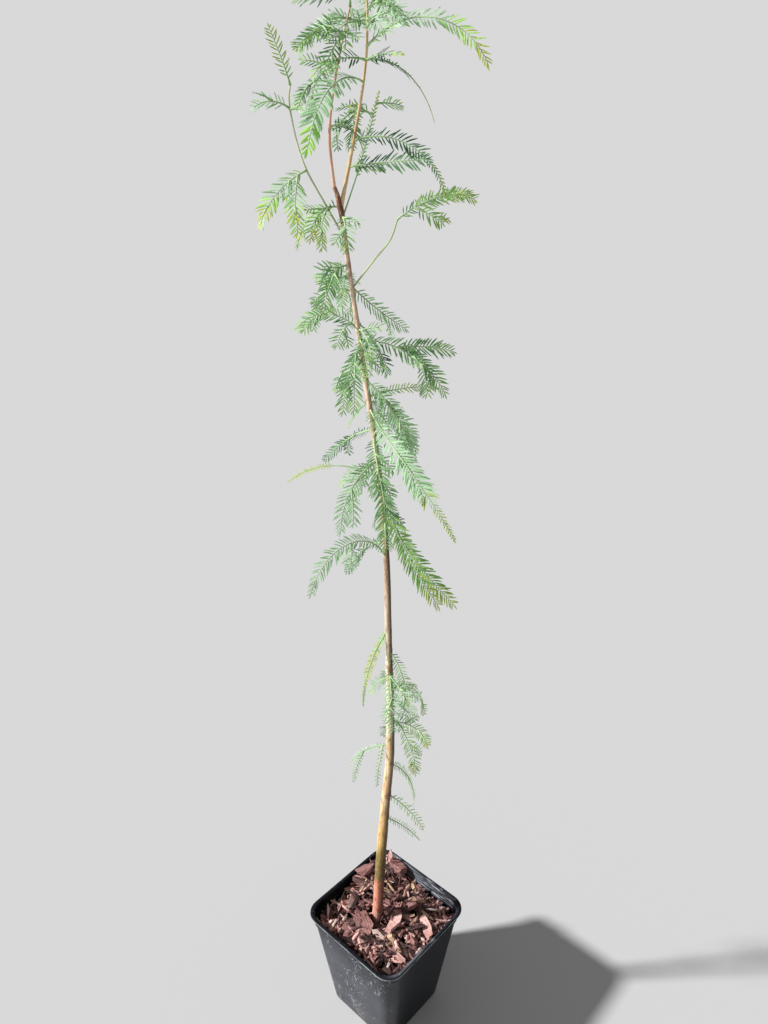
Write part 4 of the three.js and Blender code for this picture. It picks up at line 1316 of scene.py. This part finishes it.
# %% Bark of the stem
def bark_finish():
    finish = Finish("bark")
    here = finish.place()
    height = finish.axis(here, "Z")
    wander = (finish.noise(here, 90, 3) - 0.5) * 0.012
    stops = [(level * MM / TREE_TOP, paint(*colour)) for level, colour in ZONES]
    zones = finish.ramp(height * (1 / TREE_TOP) + wander, stops)
    streaks = finish.noise(finish.place((1, 1, 0.1)), 620, 4)
    blotches = finish.spots(finish.place((1, 1, 0.5)), 230, 3, 0.54, 0.66)
    flakes = finish.spots(finish.place((1, 1, 0.45)), 620, 4, 0.57, 0.66)
    dots = finish.spots(here, 900, 2, 0.7, 0.74)
    pores = finish.spots(finish.place((1, 1, 1.6)), 800, 2, 0.68, 0.74)
    dark = finish.mix(finish.step(streaks, 0.32, 0.56), paint(104, 70, 48), zones)
    # Painted shade: the side away from the sun is laid over in dark brown, with less of it above 540 mm.
    paler_above = 1 - finish.step(height, 540 * MM, 640 * MM) * 0.55
    brown = finish.mark("brown") * (streaks * 0.6 + 0.5) * paler_above
    colour = finish.layered(
        finish.mix(0.5, zones, dark), (blotches * 0.6, (150, 92, 64)), (flakes * 0.5, (234, 218, 188)),
        (dots * 0.6, (236, 220, 160)), (pores * 0.65, (70, 44, 32)),
        (finish.mark("collar") * 0.4, (98, 60, 44)), (brown, (66, 42, 32)),
    )
    return finish.close(
        Base_Color=colour,
        Roughness=0.62 + streaks * 0.25,
        Normal=finish.bump(streaks + flakes * 0.4 - pores * 0.5, 0.5, 0.35 * MM),
        Specular_IOR_Level=0.35,
    )


# %% Smooth bark of the thin limbs
def young_bark_finish(name, shaded, sunny, streak=(220, 190, 160)):
    """Smooth bark in two tones with fine streaks along it, all three given as screen levels."""
    finish = Finish(name)
    streaks = finish.noise(finish.place((1, 1, 0.1)), 700, 4)
    patches = finish.noise(finish.place(), 60, 3)
    tone = finish.mix(finish.step(patches, 0.35, 0.65), paint(*shaded), paint(*sunny))
    return finish.close(
        Base_Color=finish.layered(tone, (finish.step(streaks, 0.5, 0.8) * 0.4, streak)),
        Roughness=0.55 + streaks * 0.2,
        Normal=finish.bump(streaks, 0.4, 0.25 * MM),
        Specular_IOR_Level=0.4,
    )


# %% Limbs in their bark
LIMB_DETAIL = {
    "trunk": (440, 20), "leader_left": (90, 14), "leader_right": (110, 14),
    "branch_left": (80, 12), "branch_right": (60, 12),
}
limb_finishes = {
    "trunk": bark_finish(),
    "leader_left": young_bark_finish("rosy_bark", (204, 154, 130), (236, 194, 170)),
    "leader_right": young_bark_finish("tan_bark", (196, 158, 108), (230, 198, 150)),
    "branch_left": young_bark_finish("grey_green_bark", (184, 192, 154), (214, 222, 186)),
    "branch_right": young_bark_finish("green_bark", (166, 192, 122), (204, 224, 158)),
}
for name, (steps, sides) in LIMB_DETAIL.items():
    piece = limb_piece(name, LIMBS[name][1], steps, sides)
    dress(piece, limb_finishes[name], "bark" if name == "trunk" else "young_bark", name)

# %% [markdown]
# ## Stems of the sprays
#
# Each stem of a spray is a pale green thread under 2 mm thick that widens where it leaves its limb.
# There are over two hundred, so their skins are written straight into one mesh for each part of the
# plant: six points round every station, joined into a tube.

# %% Stem skins
STEM_SIDES = 6
STEM_ROOT, STEM_TIP = 0.58, 0.24
STEM_FLARE = {"more": 0.35, "over": 4}
STEM_PITCH = 3.2
regions = defaultdict(list)
for name in SPRAYS:
    regions[name.split("_")[0]].append(name)


def add_stem(heap, stem):
    """Adds one tapering tube along a stem."""
    line = walk(stem, STEM_PITCH)
    ring = []
    for station in line:
        radius = STEM_ROOT + (STEM_TIP - STEM_ROOT) * station.share
        radius += STEM_FLARE["more"] * math.exp(-station.share * stem["length"] / STEM_FLARE["over"])
        for k in range(STEM_SIDES):
            angle = 2 * math.pi * k / STEM_SIDES
            out = station.side * math.cos(angle) + station.face * math.sin(angle)
            ring.append(station.point + out * radius)
    last = len(ring) - STEM_SIDES
    faces = [list(range(STEM_SIDES)), list(range(len(ring) - 1, last - 1, -1))]
    for start in range(0, last, STEM_SIDES):
        for k in range(STEM_SIDES):
            a, b = start + k, start + (k + 1) % STEM_SIDES
            faces.append([b, a, a + STEM_SIDES, b + STEM_SIDES])
    heap.add(np.array(ring), faces)


green_stem = young_bark_finish("green_stem", (142, 178, 118), (184, 214, 158), (206, 232, 194))
for region, members in regions.items():
    heap = Heap()
    for name in members:
        for stem in stems[name]:
            add_stem(heap, stem)
    piece = heap.piece(f"stems_{region}")
    only(piece)
    bpy.ops.object.shade_smooth()
    dress(piece, green_stem, "needles", *members)

# %% [markdown]
# ## Needles
#
# A needle is a soft flat blade about 10 mm long and a little over 1 mm wide. Needles stand in two
# ranks along the stem, left and right by turns, lean forward, and shrink towards root and tip.
# Thousands of copies of an object would be slow, so each needle is a bent diamond between two points,
# of 24 small triangles, and whole ranks are joined into one mesh for each part of the plant and tint.
# Some sprays have habits of their own: broad needles at the tip, a thin tail or a bare first stretch.

# %% Habits of single sprays
Habit = namedtuple("Habit", "bare tail size pitch broad", defaults=(0, 1, 1, 1, 1))
HABITS = {
    "low_spray_1": Habit(tail=0.62, size=0.72, pitch=0.72),
    "low_spray_6": Habit(size=0.66, pitch=1.25),
    "low_spray_8": Habit(size=0.9, pitch=1.3),
    "low_spray_9": Habit(tail=0.8, size=0.85, pitch=1.35),
    "middle_spray_2": Habit(tail=0.72),
    "middle_spray_6": Habit(bare=0.48, size=0.5),
    "fork_spray_1": Habit(bare=0.35),
    "leader_right_spray_2": Habit(tail=0.6),
    "leader_right_spray_3": Habit(bare=0.05, pitch=1.25, broad=1.9),
    "leader_right_spray_5": Habit(tail=0.45),
}
TAIL_SIZE = 0.45


def habit_of(name):
    return HABITS.get(name, Habit())


print(len(HABITS), "sprays have habits of their own")


# %% One needle
NEEDLE = {
    "pitch": 2.35, "lean": 61, "bare_root": 3.5, "width": 0.145, "least_half": 0.45,
    "thickness": 0.22, "bend": 0.14, "sag": 0.06, "room": 0.25, "lean_in": 16, "lean_luck": 22,
    "lift_luck": 0.5, "apart": 0.22,
}
GROWTH = {
    "root": 0.6, "rise": 1.2, "tip_from": 0.72, "tip_over": 0.28, "tip_loss": 0.55, "tip_power": 1.5,
}
LOW_LEAN = 74
SECTIONS = [(0.16, 0.7), (0.5, 1), (0.82, 0.72)]
NEEDLE_POINTS = 2 + 4 * len(SECTIONS)
NEEDLE_FACES = [[0, 1 + (k + 1) % 4, 1 + k] for k in range(4)]
for low in range(1, 1 + 4 * (len(SECTIONS) - 1), 4):
    for k in range(4):
        after = (k + 1) % 4
        NEEDLE_FACES.append([low + k, low + after, low + 4 + after, low + 4 + k])
last = NEEDLE_POINTS - 5
NEEDLE_FACES += [[last + k, last + (k + 1) % 4, NEEDLE_POINTS - 1] for k in range(4)]


def needle_points(root, ahead, side, face, length, wide):
    """A flat blade that bends forward and droops a little."""
    half = max(NEEDLE["least_half"], 0.5 * NEEDLE["width"] * length) * wide
    across = ahead.cross(face).normalized()
    flat = across.cross(ahead).normalized()
    points = [root]
    for t, share in SECTIONS + [(1, 0)]:
        centre = root + ahead * (length * t) + side * (length * NEEDLE["bend"] * t * t)
        centre.z -= NEEDLE["sag"] * length * t * t
        out, up = across * (half * share), flat * (half * share * NEEDLE["thickness"])
        points += [centre + out, centre + up, centre - out, centre - up] if share else [centre]
    return points


def needle_length(full, share):
    """Short at the root, full by a third of the way, and shorter again towards the tip."""
    full *= min(1, GROWTH["root"] + GROWTH["rise"] * share)
    if share <= GROWTH["tip_from"]:
        return full
    tip = (share - GROWTH["tip_from"]) / GROWTH["tip_over"]
    return full * (1 - GROWTH["tip_loss"] * tip ** GROWTH["tip_power"])


print("a needle has", len(NEEDLE_FACES), "faces")


# %% [markdown]
# ## Tints
#
# The tints are partly the needles' own colours and partly painted light. Dark and deep stand for old
# needles and also paint the shade that inner and shaded sprays hung in; the bright green and pale mint
# tints are painted sunlight and painted sheen on needles in the sun; the growing tips are lime. One
# material with a pattern would put these tints anywhere. So each tint is a plain colour of its own, and
# a spray's looks say which tints run from its root to its tip, with a little luck at each needle.

# %% Tints and looks
# Dark and deep are partly the tone of old needles and partly painted shade; the bright green and the pale
# mint are painted sunlight and painted sheen.
TINTS = {
    "dark": (52, 82, 62), "deep": (88, 126, 86), "mid": (122, 162, 110), "sunlit_mint": (176, 214, 168),
    "sunlit_green": (148, 188, 110), "lime": (166, 184, 78), "spring": (180, 236, 118), "gold": (202, 222, 70),
}
# The shaded and tipped looks paint the shade that their sprays hung in.
LOOKS = {
    "shaded": ("dark", "dark", "deep", "deep"),
    "plain": ("deep", "mid", "mid", "sunlit_green"),
    "topmost": ("deep", "deep", "mid", "sunlit_green"),
    "silver": ("mid", "sunlit_mint", "sunlit_mint", "sunlit_mint"),
    "sunny": ("mid", "sunlit_mint", "sunlit_mint", "sunlit_mint", "lime"),
    "grassy": ("deep", "sunlit_green", "sunlit_green", "sunlit_green", "lime"),
    "young": ("sunlit_green", "lime", "lime"),
    "golden": ("spring", "gold", "gold", "sunlit_green"),
    "bright": ("lime", "sunlit_mint", "sunlit_mint", "sunlit_mint", "sunlit_mint", "spring"),
    "glowing": ("sunlit_green", "sunlit_mint", "sunlit_mint", "spring", "gold"),
    "lush": ("deep", "mid", "sunlit_mint", "sunlit_mint", "sunlit_green"),
    "tipped": ("dark", "dark", "deep", "lime"),
}
LUCK = 0.22


def needle_tint(name, share, seed):
    """The tint of a needle at a share of the way along its stem."""
    looks = LOOKS[SPRAYS[name]["looks"]]
    place = share + LUCK * (chance(seed, 6) - 0.5)
    return looks[int(min(max(place, 0), 0.999) * len(looks))]


print(len(TINTS), "tints in", len(LOOKS), "looks")


# %% Place one needle
needle_heaps = defaultdict(Heap)
needle_owners = defaultdict(set)


def add_needle(name, station, root, right, stem, seed):
    """Adds one needle unless it would stab a limb."""
    habit = habit_of(name)
    usual = LOW_LEAN if name.startswith("low") else NEEDLE["lean"]
    luck = NEEDLE["lean_luck"] * (chance(seed, 1) - 0.5)
    lean = math.radians(usual - NEEDLE["lean_in"] * station.share + luck)
    lift = NEEDLE["lift_luck"] * (chance(seed, 2) - 0.45)
    ahead = station.along * math.cos(lean) + station.side * (right * math.sin(lean)) + station.face * lift
    ahead.normalize()
    length = needle_length(stem["needle"] * habit.size, station.share) * (0.86 + 0.26 * chance(seed, 3))
    if station.share > habit.tail:
        length *= TAIL_SIZE
    tip = root + ahead * length
    if not limbs_only.is_clear("", root + ahead * (0.2 * length), tip, NEEDLE["room"]):
        return
    wide = 1 + (habit.broad - 1) * station.share
    points = needle_points(root, ahead, station.along, station.face, length, wide)
    place = name.split("_")[0], needle_tint(name, station.share, seed)
    needle_heaps[place].add(np.array(points), NEEDLE_FACES)
    needle_owners[place].add(name)


# %% Grow the needles
SEEDS = {"spray": 5000, "stem": 1000, "tip": 999}


def add_ranks(name, stem, bare, seed):
    """Two ranks of needles along a stem from a share of it on, and one needle at its tip."""
    line = walk(stem, NEEDLE["pitch"] * habit_of(name).pitch)
    for i, (station, after) in enumerate(zip(line, line[1:])):
        for right in (-1, 1):
            between_stations = 0.5 + NEEDLE["apart"] * right
            share = min(1, station.share + between_stations / len(line))
            if share < bare or share * stem["length"] < NEEDLE["bare_root"]:
                continue
            root = station.point.lerp(after.point, between_stations)
            number = seed + 2 * i + (right > 0)
            add_needle(name, station._replace(share=share), root, right, stem, number)
    add_needle(name, line[-1], line[-1].point, 0.3, stem, seed + SEEDS["tip"])


for number, (name, kept) in enumerate(stems.items()):
    for k, stem in enumerate(kept):
        seed = SEEDS["spray"] * number + SEEDS["stem"] * k
        add_ranks(name, stem, 0 if k else habit_of(name).bare, seed)
points = sum(heap.count for heap in needle_heaps.values())
print(points // NEEDLE_POINTS, "needles in", len(needle_heaps), "pieces")

# %% Needle finishes
def needle_finish(tint, colour):
    finish = Finish(f"needles_{tint}")
    here = finish.place()
    soft = finish.noise(here, 500, 2)
    return finish.close(
        Base_Color=colour,
        Roughness=0.46 + soft * 0.16,
        Normal=finish.bump(soft, 0.2, 0.3 * MM),
        Specular_IOR_Level=0.35,
        Subsurface_Weight=0.3,
        Subsurface_Radius=(0.4, 1, 0.3),
        Subsurface_Scale=1.2 * MM,
    )


needle_finishes = {tint: needle_finish(tint, paint(*levels)) for tint, levels in TINTS.items()}
for (region, tint), heap in sorted(needle_heaps.items()):
    piece = heap.piece(f"needles_{region}_{tint}")
    dress(piece, needle_finishes[tint], "needles", *sorted(needle_owners[region, tint]))
